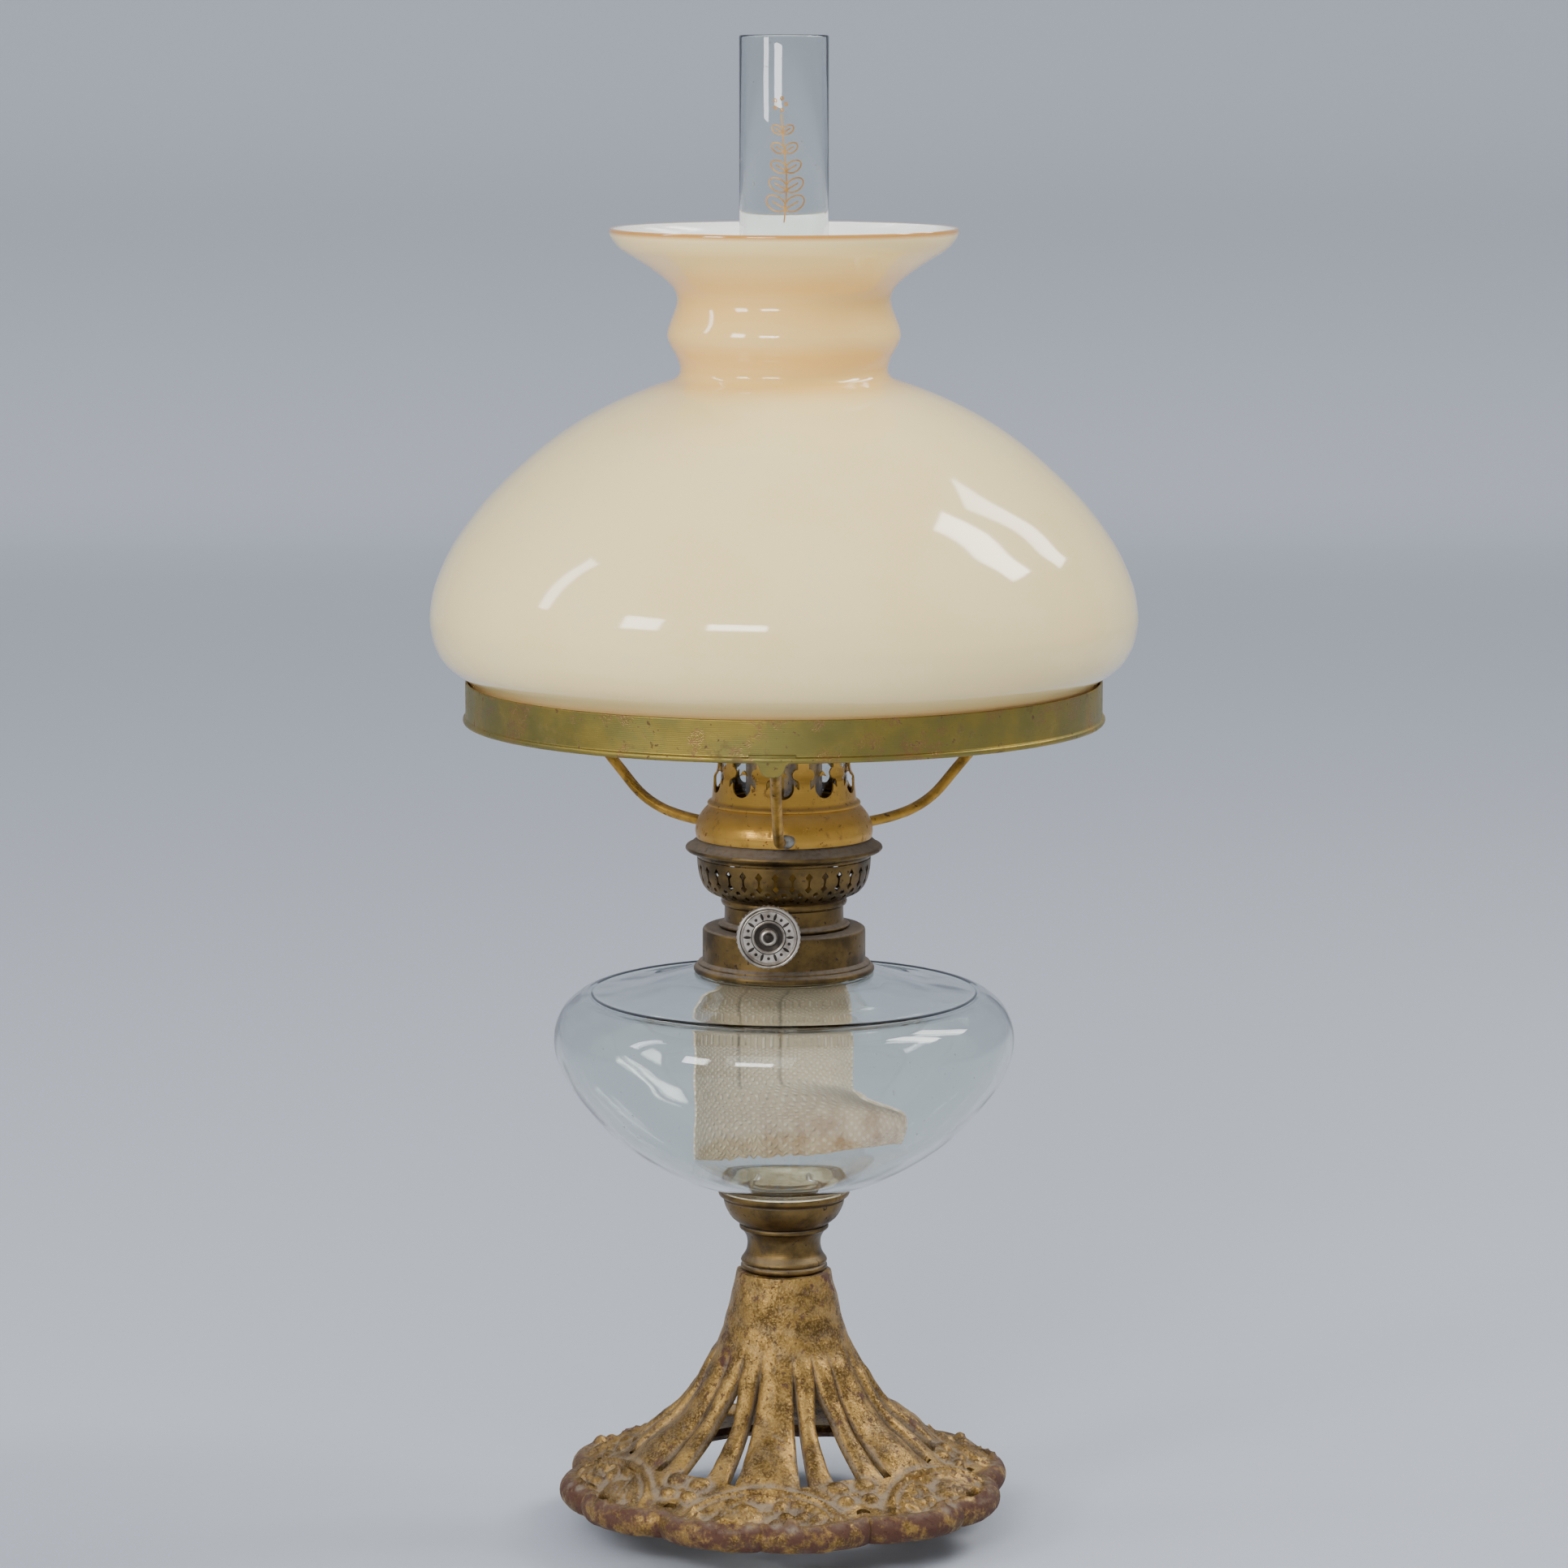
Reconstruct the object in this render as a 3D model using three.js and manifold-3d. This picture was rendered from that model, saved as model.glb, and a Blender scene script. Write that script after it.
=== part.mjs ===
// A table oil lamp with a round-wick burner: an openwork cast foot, a brass stem and cup, a blown glass font,
// a screwed burner with its wick feed, a lift-off shade carrier, an opal glass shade and a glass chimney.
// Millimetres, +Z up. The origin is the centre of the foot, on the surface that the lamp stands on.
// Angles are azimuths in degrees, counted from the front (-Y) towards the right (+X).
import * as THREE from "three";
import { mergeVertices } from "three/addons/utils/BufferGeometryUtils.js";
import Module from "manifold-3d";

const wasm = await Module();
wasm.setup();

// ---- Driving dimensions ----

const touch = 0.35; // gap left between pieces that touch
const running = 0.5; // radial clearance of pieces that move in each other
const sheet = 0.8; // spun brass sheet
const sides = 20; // facets round the turned pieces of the stem, the font and the burner

const footRadius = 84.5;
const footLobeDepth = 5;
const footEdgeHeight = 6.5;
const footLand = 6; // width of the flat ring that the foot stands on
const footFlangeHeight = 12.5;
const footHeight = 88.3;
const footTopRadius = 17.8;
const footWall = 3.2;
const footTopPlate = 4.5;
const footTurn = -6;
const medallions = 6;
const wideSlotWidth = 7.5;
const narrowSlotWidth = 2.8;
const narrowSlotOffset = 13.5; // degrees from the middle of a medallion
const slotBottom = 20;
const slotTop = 54;

const boltRadius = 3;
const boltHeadRadius = 6.5;
const boltHeadHeight = 2.4;
const boltTail = 12; // bolt below the foot's top plate
const nutAcross = 12;
const nutHeight = 5;
const washerRadius = 9.5;
const washerThickness = 1.4;

const stemHeight = 17.4;
const stemWaistRadius = 14;
const stemFootRadius = 16.6;
const stemBeadRadius = 17.2;

const cupHeight = 13;
const cupRadius = 23;
const cupLipRadius = 25.1;
const cupWall = 1;

const fontRadius = 87.5;
const fontBellyHeight = 58; // above the cup's lip
const fontShoulderRadius = 72.5;
const fontShoulderHeight = 76.5;
const fontTopHeight = 84.1;
const fontWall = 2.8;
const fontNeckWall = 2;
const fontPegRadius = 13;
const fontPegDepth = 7;

const collarRadius = 30.8;
const collarFlange = 3.5; // how far the flange stands out of the collar
const collarHeight = 17;
const cementWall = 0.8;
const threadRadius = 24.1;
const threadDepth = 0.5;
const threadLength = 9;
const threadRidges = 2;

const neckRadius = 22.5;
const neckHeight = 8;
const neckFootRadius = 24.9;
const neckFootHeight = 1.9;

const basketRadius = 32.9;
const basketHeight = 18;
const basketBeadRadius = 23.9;
const basketHoles = 32;
const basketHoleHeight = 8;
const basketHoleWidth = 2.4;
const vaseRadius = 37.3;
const vaseHeight = 7;
const spigotHeight = 4;
const screenHoles = 8;
const screenHoleRadius = 3;

const wickWidth = 76;
const wickThickness = 1.4;
const wickSeam = 2; // gap between the two edges of the rolled wick
const wickFeedSeam = 14.48; // the same gap where the wick passes the cog wheels
const wickLooseRadius = 26.6; // middle radius of the wick in the font
const wickTubeHeight = 74; // above the burner's neck
const wickTubeSkirt = 15; // below the burner's neck

const spindleRadius = 1.5;
const spindleOffset = -5.7; // the spindle lies to the left of the burner's axis
const spindleRise = 4.2; // above the collar's top
const spindleTail = 6.5; // behind the burner's axis
const bushRadius = 2.7;
const bushLength = 6;
const cogTeeth = 12;
const cogToothDepth = 1.3;
const cogThickness = 1.6;
const cogSpacing = 8;
const knobRadius = 11.8;
const knobThickness = 4;
const knobReach = 52; // from the burner's axis to the knob's front

const chimneyRadius = 24;
const chimneyTubeRadius = 16.7;
const chimneyWaistRadius = 15.2;
const chimneyBulbHeight = 43;
const chimneyWaistHeight = 52;
const chimneyHeight = 285.6;
const chimneyWall = 1.8;

const galleryRadius = 33.7;
const galleryHeight = 14.5; // from its lower edge to the chimney's seat
const gallerySheet = 0.7;
const crownHeight = 20; // above the chimney's seat
const prongs = 10;
const prongGapRadius = 5.4;
const seatInnerRadius = 21.2;

const ringRadius = 120;
const ringHeight = 15.6;
const ringSheet = 1;
const ringLedge = 5.4;
const ringRise = 44.3; // ring's lower edge above the gallery's lower edge
const lugWidth = 9;
const lugDrop = 5;
const armRadius = 2;
const armTurn = -2;
const arms = 3;

const shadeRadius = 133.1;
const shadeFitHeight = 15; // straight part that stands in the ring
const shadeBellyHeight = 38;
const shadeDomeHeight = 128.5;
const shadeNeckRadius = 39;
const shadeBulgeRadius = 43.7;
const shadeThroatRadius = 40;
const shadeRimRadius = 65.6;
const shadeBulgeHeight = 144;
const shadeThroatHeight = 157.8;
const shadeHeight = 181.4;
const shadeWall = 3.2;

// ---- Heights and radii that follow from them ----

const stemBottom = footHeight + touch;
const cupBottom = stemBottom + stemHeight + touch;
const cupTop = cupBottom + cupHeight;
const fontBottom = cupTop + touch;
const fontTop = fontBottom + fontTopHeight;
const collarBottom = fontTop + touch;
const collarTop = collarBottom + collarHeight;
const fontNeckRadius = collarRadius - sheet - cementWall - 2 * touch;
const fontNeckTop = collarTop - sheet - 3.2;
const neckBottom = collarTop + touch;
const neckTop = neckBottom + neckHeight;
const basketBottom = neckTop + touch;
const vaseBottom = basketBottom + basketHeight + touch;
const galleryBottom = vaseBottom + vaseHeight + touch;
const seatTop = galleryBottom + galleryHeight;
const chimneyBottom = seatTop + touch;
const ringBottom = galleryBottom + ringRise;
const shadeBottom = ringBottom + ringSheet + touch;
const shadeFitRadius = ringRadius - ringSheet - 1.2;

const wickTopRadius = (wickWidth + wickSeam) / (2 * Math.PI);
const wickFeedRadius = (wickWidth + wickFeedSeam) / (2 * Math.PI); // middle of the cloth at the cog wheels
const wickTop = neckTop + wickTubeHeight - 3;
const feedTubeRadius = wickFeedRadius + wickThickness / 2 + running; // bore of the wick tube's wide end
const flameTubeRadius = wickTopRadius + wickThickness / 2 + running; // bore of its narrow end
const draughtTubeRadius = wickTopRadius - wickThickness / 2 - running;
const spindleHeight = collarTop + spindleRise;
const cogReach = Math.sqrt((wickFeedRadius - wickThickness / 2) ** 2 - (cogSpacing / 2 + cogThickness) ** 2);
const cogRadius = cogReach + spindleOffset - touch;
const wickTravel = 10;
const feedTop = neckTop + 8; // where the wick starts to draw in, at its lowest setting
const drawInHeight = 12;

// ---- Shape helpers ----

const degrees = (angle) => (angle * Math.PI) / 180;
const v2 = (x, y) => new THREE.Vector2(x, y);
const azimuthPoint = (radius, azimuth, z) =>
  new THREE.Vector3(radius * Math.sin(degrees(azimuth)), -radius * Math.cos(degrees(azimuth)), z);
const smoothstep = (t) => {
  const s = Math.min(Math.max(t, 0), 1);
  return s * s * (3 - 2 * s);
};

// A closed geometry as a manifold-3d solid, with its faces pointing out.
function solid(geometry) {
  const bare = new THREE.BufferGeometry().setAttribute("position", geometry.getAttribute("position"));
  bare.setIndex(geometry.getIndex());
  const merged = mergeVertices(bare, 1e-4);
  const index = merged.getIndex().array;
  const faces = [];
  for (let i = 0; i < index.length; i += 3) {
    const [a, b, c] = index.slice(i, i + 3);
    if (a !== b && b !== c && c !== a) faces.push([a, b, c]);
  }
  const vertProperties = merged.getAttribute("position").array;
  const build = (list) =>
    new wasm.Manifold(new wasm.Mesh({ numProp: 3, vertProperties, triVerts: new Uint32Array(list.flat()) }));
  const made = build(faces);
  return made.volume() < 0 ? build(faces.map(([a, b, c]) => [a, c, b])) : made;
}

// A manifold-3d solid as a three.js geometry.
function geometryOf(shape) {
  const mesh = shape.getMesh();
  const positions = new Float32Array(mesh.numVert * 3);
  for (let i = 0; i < mesh.numVert; i++) {
    positions.set(mesh.vertProperties.subarray(i * mesh.numProp, i * mesh.numProp + 3), i * 3);
  }
  const geometry = new THREE.BufferGeometry();
  geometry.setAttribute("position", new THREE.BufferAttribute(positions, 3));
  geometry.setIndex(new THREE.BufferAttribute(mesh.triVerts, 1));
  geometry.computeVertexNormals();
  return geometry;
}

// The profile's points are [radius, height]. It closes on itself, or starts and ends on the axis.
function revolve(profile, segments) {
  const points = profile.map(([r, z]) => v2(r, z));
  const onAxis = profile[0][0] === 0 && profile.at(-1)[0] === 0;
  if (!onAxis) points.push(points[0].clone());
  return new THREE.LatheGeometry(points, segments).rotateX(Math.PI / 2);
}

// The same about the Y axis, for pieces on the wick spindle: points are [radius, y].
function turnedOnSpindle(profile, segments) {
  return revolve(profile, segments).rotateX(-Math.PI / 2);
}

// Evenly spaced points on a smooth curve through the given ones.
function curve(points, count) {
  return new THREE.SplineCurve(points.map(([r, z]) => v2(r, z)))
    .getSpacedPoints(count)
    .map((p) => [p.x, p.y]);
}

// The outline moved sideways by a distance: to the left of its direction if that is positive.
function offset(outline, distance) {
  return outline.map(([r, z], i) => {
    const [r0, z0] = outline[Math.max(i - 1, 0)];
    const [r1, z1] = outline[Math.min(i + 1, outline.length - 1)];
    const length = Math.hypot(r1 - r0, z1 - z0);
    return [r - ((z1 - z0) / length) * distance, z + ((r1 - r0) / length) * distance];
  });
}

// A sheet of one thickness whose outer face, drawn upwards, is the outline.
const shell = (outline, wall) => [...outline, ...offset(outline, wall).reverse()];

// A cutter for a hole through a wall: an outline of [sideways, z] points pushed out along an azimuth.
function radialCutter(outline, azimuth, near, far) {
  const shape = new THREE.Shape(outline.map(([s, z]) => v2(s, z)));
  const geometry = new THREE.ExtrudeGeometry(shape, { depth: far - near, bevelEnabled: false });
  geometry.translate(0, 0, near).rotateX(Math.PI / 2).rotateZ(degrees(azimuth));
  return solid(geometry);
}

function disc(radius, facets, height, z) {
  const upright = new THREE.CylinderGeometry(radius, radius, height, facets).rotateX(Math.PI / 2);
  return upright.translate(0, 0, z + height / 2);
}

// A round hole's outline for the wick spindle or its bush, seen from the front.
function spindleHole(radius, facets) {
  return Array.from({ length: facets }, (_, i) => {
    const a = (2 * Math.PI * i) / facets;
    return [spindleOffset + radius * Math.cos(a), spindleHeight + radius * Math.sin(a)];
  });
}

const ringSection = (inner, outer, bottom, top) => [
  [inner, bottom],
  [outer, bottom],
  [outer, top],
  [inner, top],
];

function material(color, roughness, metalness) {
  return new THREE.MeshStandardMaterial({ color, roughness, metalness });
}

const castIron = material(0x7d6236, 0.6, 0.8);
const darkBrass = material(0x4c3c22, 0.4, 0.9);
const brass = material(0xa8803a, 0.35, 0.95);
const agedBrass = material(0x8a7c3a, 0.45, 0.9);
const nickel = material(0xb9b0a4, 0.35, 0.95);
const steel = material(0x6d6d6d, 0.5, 0.9);
const plaster = material(0xcfc7b6, 0.9, 0);
const cotton = material(0xcbb79b, 0.95, 0);
const opalGlass = material(0xe9d3a4, 0.12, 0);
const clearGlass = material(0xdfe6e6, 0.05, 0);
clearGlass.transparent = true;
clearGlass.opacity = 0.35;

function piece(name, shape, finish) {
  const mesh = new THREE.Mesh(shape.isBufferGeometry ? geometryOf(solid(shape)) : geometryOf(shape), finish);
  mesh.name = name;
  return mesh;
}

// ---- Foot ----

// How far the scalloped edge stands in or out at an azimuth: two shallow lobes to each medallion.
function footLobe(azimuth) {
  const phase = ((azimuth - footTurn) * medallions) / 360;
  const within = phase - Math.floor(phase);
  const half = (within * 2) % 1;
  const depth = within * 2 > 0.5 && within * 2 < 1.5 ? 1 : 0.75;
  return footLobeDepth * (Math.sin(Math.PI * half) ** 0.6 * depth - 0.6);
}

function footCasting() {
  // Shares of the way out from the top's radius to the edge's, and up from the flange to the top.
  const flare = [
    [0, 1],
    [0.047, 0.835],
    [0.113, 0.63],
    [0.218, 0.43],
    [0.411, 0.228],
    [0.605, 0.1],
    [0.785, 0.03],
    [0.92, 0],
  ];
  const outer = curve(
    flare.map(([out, up]) => [
      footTopRadius + out * (footRadius - 1.5 - footTopRadius),
      footFlangeHeight + up * (footHeight - footFlangeHeight),
    ]),
    7,
  );
  const inner = offset(outer.slice(1), -footWall).filter(([, z]) => z < footHeight - footTopPlate - 1);
  const landInner = footRadius - footLand;
  const profile = [
    ...outer,
    [footRadius, footEdgeHeight],
    [footRadius - 0.8, 0],
    [landInner, 0],
    [landInner - 1.5, footEdgeHeight - 1.5],
    ...inner.reverse().filter(([r]) => r < landInner - 3),
    [footTopRadius - footWall, footHeight - footTopPlate],
    [boltRadius + running, footHeight - footTopPlate],
    [boltRadius + running, footHeight],
  ];
  const geometry = revolve(profile, 6 * medallions).rotateZ(degrees(footTurn));
  const position = geometry.getAttribute("position");
  for (let i = 0; i < position.count; i++) {
    const radius = Math.hypot(position.getX(i), position.getY(i));
    const azimuth = (Math.atan2(position.getX(i), -position.getY(i)) * 180) / Math.PI;
    const share = smoothstep((radius - 0.7 * footRadius) / (0.25 * footRadius));
    const moved = 1 + (share * footLobe(azimuth)) / radius;
    position.setXY(i, position.getX(i) * moved, position.getY(i) * moved);
  }
  const slot = (width) => [
    [-width / 2, slotBottom],
    [width / 2, slotBottom],
    [width / 5, slotTop],
    [-width / 5, slotTop],
  ];
  let casting = solid(geometry);
  for (let i = 0; i < medallions; i++) {
    const middle = footTurn + (i * 360) / medallions;
    const cuts = [
      [wideSlotWidth, middle + 180 / medallions],
      [narrowSlotWidth, middle - narrowSlotOffset],
      [narrowSlotWidth, middle + narrowSlotOffset],
    ];
    for (const [width, azimuth] of cuts) {
      casting = casting.subtract(radialCutter(slot(width), azimuth, footTopRadius / 2, footRadius * 0.8));
    }
  }
  return casting;
}

const boltTop = cupBottom + cupWall + touch + boltHeadHeight;
const underPlate = footHeight - footTopPlate;

function tieBolt() {
  const headBottom = boltTop - boltHeadHeight;
  return revolve(
    [
      [0, underPlate - boltTail],
      [boltRadius, underPlate - boltTail],
      [boltRadius, headBottom],
      [boltHeadRadius, headBottom],
      [boltHeadRadius, boltTop],
      [0, boltTop],
    ],
    16,
  );
}

function pierced(shape, radius, bottom, height) {
  return solid(shape).subtract(solid(disc(radius, 16, height + 2, bottom - 1)));
}

function tieWasher() {
  const bottom = underPlate - touch - washerThickness;
  const round = disc(washerRadius, 20, washerThickness, bottom);
  return pierced(round, boltRadius + touch, bottom, washerThickness);
}

function tieNut() {
  const bottom = underPlate - 2 * touch - washerThickness - nutHeight;
  const corner = nutAcross / Math.sqrt(3);
  return pierced(disc(corner, 6, nutHeight, bottom), boltRadius + touch, bottom, nutHeight);
}

function stemNeck() {
  const bore = boltRadius + touch;
  const top = stemBottom + stemHeight;
  return revolve(
    [
      [bore, stemBottom],
      [stemFootRadius - 0.8, stemBottom],
      [stemFootRadius, stemBottom + 1.2],
      [stemFootRadius - 0.3, stemBottom + 3.6],
      ...curve(
        [
          [stemWaistRadius + 0.9, stemBottom + 5.6],
          [stemWaistRadius, stemBottom + 9.6],
          [stemWaistRadius + 0.5, stemBottom + 13],
          [stemBeadRadius - 0.8, top - 1.6],
        ],
        4,
      ),
      [stemBeadRadius, top - 0.9],
      [stemBeadRadius, top],
      [bore, top],
    ],
    sides,
  );
}

// The cup's outer face, from its bottom hole to its lip.
const cupOutline = [
  [boltRadius + touch, cupBottom],
  [stemBeadRadius - 0.6, cupBottom],
  [cupRadius - 4.2, cupBottom + 1.6],
  [cupRadius - 1.9, cupBottom + 4.4],
  [cupRadius - 0.4, cupBottom + 7.6],
  [cupRadius, cupTop - 3.2],
  [cupLipRadius, cupTop - 1.3],
  [cupLipRadius, cupTop],
];
const fontCup = () => revolve(shell(cupOutline, cupWall), sides);

function fontPlaster() {
  const inside = offset(cupOutline, cupWall + touch).slice(2, 6);
  const headHole = boltHeadRadius + touch;
  return revolve(
    [
      [headHole, cupBottom + cupWall + touch],
      [inside[0][0] - 1, cupBottom + cupWall + touch],
      ...inside,
      [cupRadius - cupWall - 2 * touch, cupTop - touch],
      [fontPegRadius + 3, cupTop - touch],
      [fontPegRadius + touch, cupTop - 2],
      [fontPegRadius + touch, fontBottom - fontPegDepth - touch],
      [headHole, fontBottom - fontPegDepth - touch],
    ],
    sides,
  );
}

// ---- Glass font ----

// The blown body's outer face, from the cup's lip up to the foot of the neck.
function fontOutline() {
  const rise = fontBottom;
  const low = cupLipRadius - 0.6;
  const span = fontRadius - low;
  const lower = curve(
    [
      [low, rise],
      [low + 0.25 * span, rise + 0.1 * fontBellyHeight],
      [low + 0.44 * span, rise + 0.216 * fontBellyHeight],
      [low + 0.63 * span, rise + 0.366 * fontBellyHeight],
      [low + 0.8 * span, rise + 0.56 * fontBellyHeight],
      [low + 0.92 * span, rise + 0.735 * fontBellyHeight],
      [fontRadius, rise + fontBellyHeight],
    ],
    6,
  );
  const upper = curve(
    [
      [fontRadius, rise + fontBellyHeight],
      [fontRadius - 1.7, rise + fontBellyHeight + 0.45 * (fontShoulderHeight - fontBellyHeight)],
      [(fontRadius + fontShoulderRadius) / 2 + 0.8, rise + fontShoulderHeight - 3.4],
      [fontShoulderRadius, rise + fontShoulderHeight],
    ],
    3,
  );
  const flange = collarRadius + collarFlange;
  const slope = fontShoulderRadius - flange;
  const top = curve(
    [
      [fontShoulderRadius - 2.5, rise + fontShoulderHeight - 0.8],
      [flange + 0.6 * slope, rise + fontShoulderHeight + 0.1 * (fontTopHeight - fontShoulderHeight)],
      [flange + 0.28 * slope, rise + fontShoulderHeight + 0.6 * (fontTopHeight - fontShoulderHeight)],
      [flange, fontTop],
    ],
    2,
  );
  return [...lower, ...upper.slice(1), ...top, [fontNeckRadius + 0.8, fontTop]];
}

function glassFont() {
  const outline = fontOutline();
  const inside = offset(outline, fontWall);
  const floor = inside[0][1];
  const neckInner = fontNeckRadius - fontNeckWall;
  return revolve(
    [
      [0, fontBottom - fontPegDepth],
      [fontPegRadius - 1.5, fontBottom - fontPegDepth],
      [fontPegRadius, fontBottom - fontPegDepth + 1.5],
      [fontPegRadius, fontBottom - 1.5],
      [fontPegRadius + 3, fontBottom],
      ...outline,
      [fontNeckRadius, fontTop + 0.8],
      [fontNeckRadius, fontNeckTop],
      [neckInner, fontNeckTop],
      [neckInner, fontTop - fontWall + 1],
      ...inside.slice(1, -1).reverse(),
      [0, floor],
    ],
    sides,
  );
}

// Height of the glass floor inside the font at a radius.
function fontFloor(radius) {
  const inside = offset(fontOutline(), fontWall);
  const next = inside.findIndex(([r]) => r > radius);
  if (next < 1) return inside[0][1];
  const [r0, z0] = inside[next - 1];
  const [r1, z1] = inside[next];
  return z0 + ((radius - r0) / (r1 - r0)) * (z1 - z0);
}

// ---- Collar ----

// Points of a ring thread, going down, between a root radius and a crest radius.
function threadRings(root, crest, top) {
  const pitch = threadLength / threadRidges;
  const points = [];
  for (let i = 0; i < threadRidges; i++) {
    points.push([root, top - i * pitch]);
    points.push([crest, top - (i + 0.5) * pitch]);
  }
  points.push([root, top - threadLength]);
  return points;
}

const threadTop = collarTop - 1.2;
const sleeveOuter = threadRadius + 0.9;

function fontCollar() {
  const flange = collarRadius + collarFlange;
  const wall = collarRadius - sheet;
  const underTop = collarTop - sheet;
  const inside = threadRings(threadRadius, threadRadius - threadDepth, threadTop);
  return revolve(
    [
      [wall, collarBottom],
      [flange, collarBottom],
      [flange, collarBottom + 1.6],
      [flange - 1.3, collarBottom + 3],
      [collarRadius, collarBottom + 4.2],
      [collarRadius, collarTop - 1.2],
      [collarRadius - 1, collarTop],
      [threadRadius, collarTop],
      ...inside,
      [sleeveOuter, threadTop - threadLength],
      [sleeveOuter, underTop],
      [wall, underTop],
    ],
    sides,
  );
}

function collarCement() {
  const outer = collarRadius - sheet - touch;
  const inner = fontNeckRadius + touch;
  return revolve(
    [
      [inner, collarBottom + 2],
      [outer, collarBottom + 2],
      [outer, collarTop - sheet - touch],
      [sleeveOuter + touch, collarTop - sheet - touch],
      [sleeveOuter + touch, fontNeckTop + touch],
      [inner, fontNeckTop + touch],
    ],
    sides,
  );
}

// ---- Burner ----

function burnerNeck() {
  const root = threadRadius - threadDepth - running;
  const thread = threadRings(root + threadDepth, root, threadTop).reverse();
  const inner = neckRadius - sheet;
  const profile = [
    [inner - 0.4, threadTop - threadLength],
    ...thread,
    [root, neckBottom],
    [neckFootRadius, neckBottom],
    [neckFootRadius, neckBottom + neckFootHeight * 0.6],
    [neckRadius, neckBottom + neckFootHeight],
    [neckRadius, neckTop],
    [inner, neckTop],
  ];
  const cutter = radialCutter(spindleHole(bushRadius + touch, 16), 0, neckRadius / 2, neckFootRadius + 2);
  return solid(revolve(profile, sides)).subtract(cutter);
}

// The bowl's outer face, from the bead at its bottom to its upper edge.
function basketOutline() {
  const base = basketBottom + 3;
  const rise = basketBottom + basketHeight - base;
  return [
    [basketBeadRadius - 1, basketBottom],
    [basketBeadRadius, basketBottom + 0.6],
    [basketBeadRadius, basketBottom + 2.2],
    [basketBeadRadius + 0.8, base],
    ...curve(
      [
        [basketBeadRadius + 3, base + 0.08 * rise],
        [basketRadius - 4, base + 0.2 * rise],
        [basketRadius - 1.6, base + 0.4 * rise],
        [basketRadius - 0.3, base + 0.65 * rise],
        [basketRadius, base + rise],
      ],
      2,
    ),
  ];
}

function airBasket() {
  const outline = basketOutline();
  const inner = offset(outline.slice(3), sheet).reverse();
  const lip = feedTubeRadius + sheet + 2 * touch + 0.5;
  const floor = basketBottom + 2 * sheet;
  const profile = [
    ...outline,
    ...inner,
    [basketBeadRadius - 1.2, floor + sheet],
    [lip, floor + sheet],
    [lip, floor],
    [basketBeadRadius - 1, floor],
  ];
  const middle = basketBottom + 0.67 * basketHeight;
  const half = basketHoleHeight / 2;
  const hole = [
    [0, middle - half],
    [basketHoleWidth / 2, middle],
    [0, middle + half],
    [-basketHoleWidth / 2, middle],
  ];
  let bowl = solid(revolve(profile, basketHoles));
  for (let i = 0; i < basketHoles; i++) {
    const azimuth = ((i + 0.5) * 360) / basketHoles;
    bowl = bowl.subtract(radialCutter(hole, azimuth, basketBeadRadius, basketRadius + 5));
  }
  return bowl;
}

const spigotRadius = galleryRadius - 1.6;

function vaseRing() {
  const bead = vaseBottom + 0.5 * vaseHeight;
  return revolve(
    [
      [basketRadius - sheet, vaseBottom],
      [basketRadius + 0.4, vaseBottom],
      [vaseRadius - 1.6, bead - 1.2],
      [vaseRadius, bead - 0.2],
      [vaseRadius, bead + 0.6],
      [vaseRadius - 1, bead + 1.4],
      [spigotRadius + 0.6, vaseBottom + vaseHeight],
      [spigotRadius, vaseBottom + vaseHeight + touch],
      [spigotRadius, vaseBottom + vaseHeight + spigotHeight],
      [spigotRadius - gallerySheet, vaseBottom + vaseHeight + spigotHeight],
      [spigotRadius - gallerySheet, vaseBottom + vaseHeight - 0.6],
      [vaseRadius - 2.2, bead + 0.3],
      [basketRadius - sheet, vaseBottom + 0.7],
    ],
    basketHoles,
  );
}

const drawInBottom = feedTop + wickTravel + 2;
const drawInTop = drawInBottom + drawInHeight;

// Bore of the wick tube at a height.
function wickTubeBore(z) {
  return THREE.MathUtils.lerp(feedTubeRadius, flameTubeRadius, smoothstep((z - drawInBottom) / drawInHeight));
}

const screenBottom = vaseBottom + vaseHeight + 1;

function airScreen() {
  const outer = spigotRadius - gallerySheet - touch;
  const inner = wickTubeBore(screenBottom) + sheet + touch;
  let screen = solid(revolve(ringSection(inner, outer, screenBottom, screenBottom + sheet), basketHoles));
  for (let i = 0; i < screenHoles; i++) {
    const centre = azimuthPoint((inner + outer) / 2, (i * 360) / screenHoles, 0);
    const cut = disc(screenHoleRadius, 8, 3, screenBottom - 1).translate(centre.x, centre.y, 0);
    screen = screen.subtract(solid(cut));
  }
  return screen;
}

function wickTube() {
  const bottom = neckTop - wickTubeSkirt;
  const heights = [bottom, basketBottom, drawInBottom, (drawInBottom + drawInTop) / 2, drawInTop];
  const top = neckTop + wickTubeHeight;
  const bore = [...heights, top].map((z) => [wickTubeBore(z), z]);
  const outside = bore.map(([r, z]) => [r + sheet, z]);
  const flange = [
    [feedTubeRadius + sheet, basketBottom],
    [neckRadius - 0.2, basketBottom],
    [neckRadius - 0.2, basketBottom + 0.8],
    [feedTubeRadius + sheet, basketBottom + 0.8],
  ];
  const profile = [outside[0], ...flange, ...outside.slice(2), ...bore.reverse()];
  const hole = spindleHole(spindleRadius + running, 10);
  const cutter = radialCutter(hole, 0, feedTubeRadius * 0.6, feedTubeRadius + 4);
  return solid(revolve(profile, sides)).subtract(cutter);
}

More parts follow.
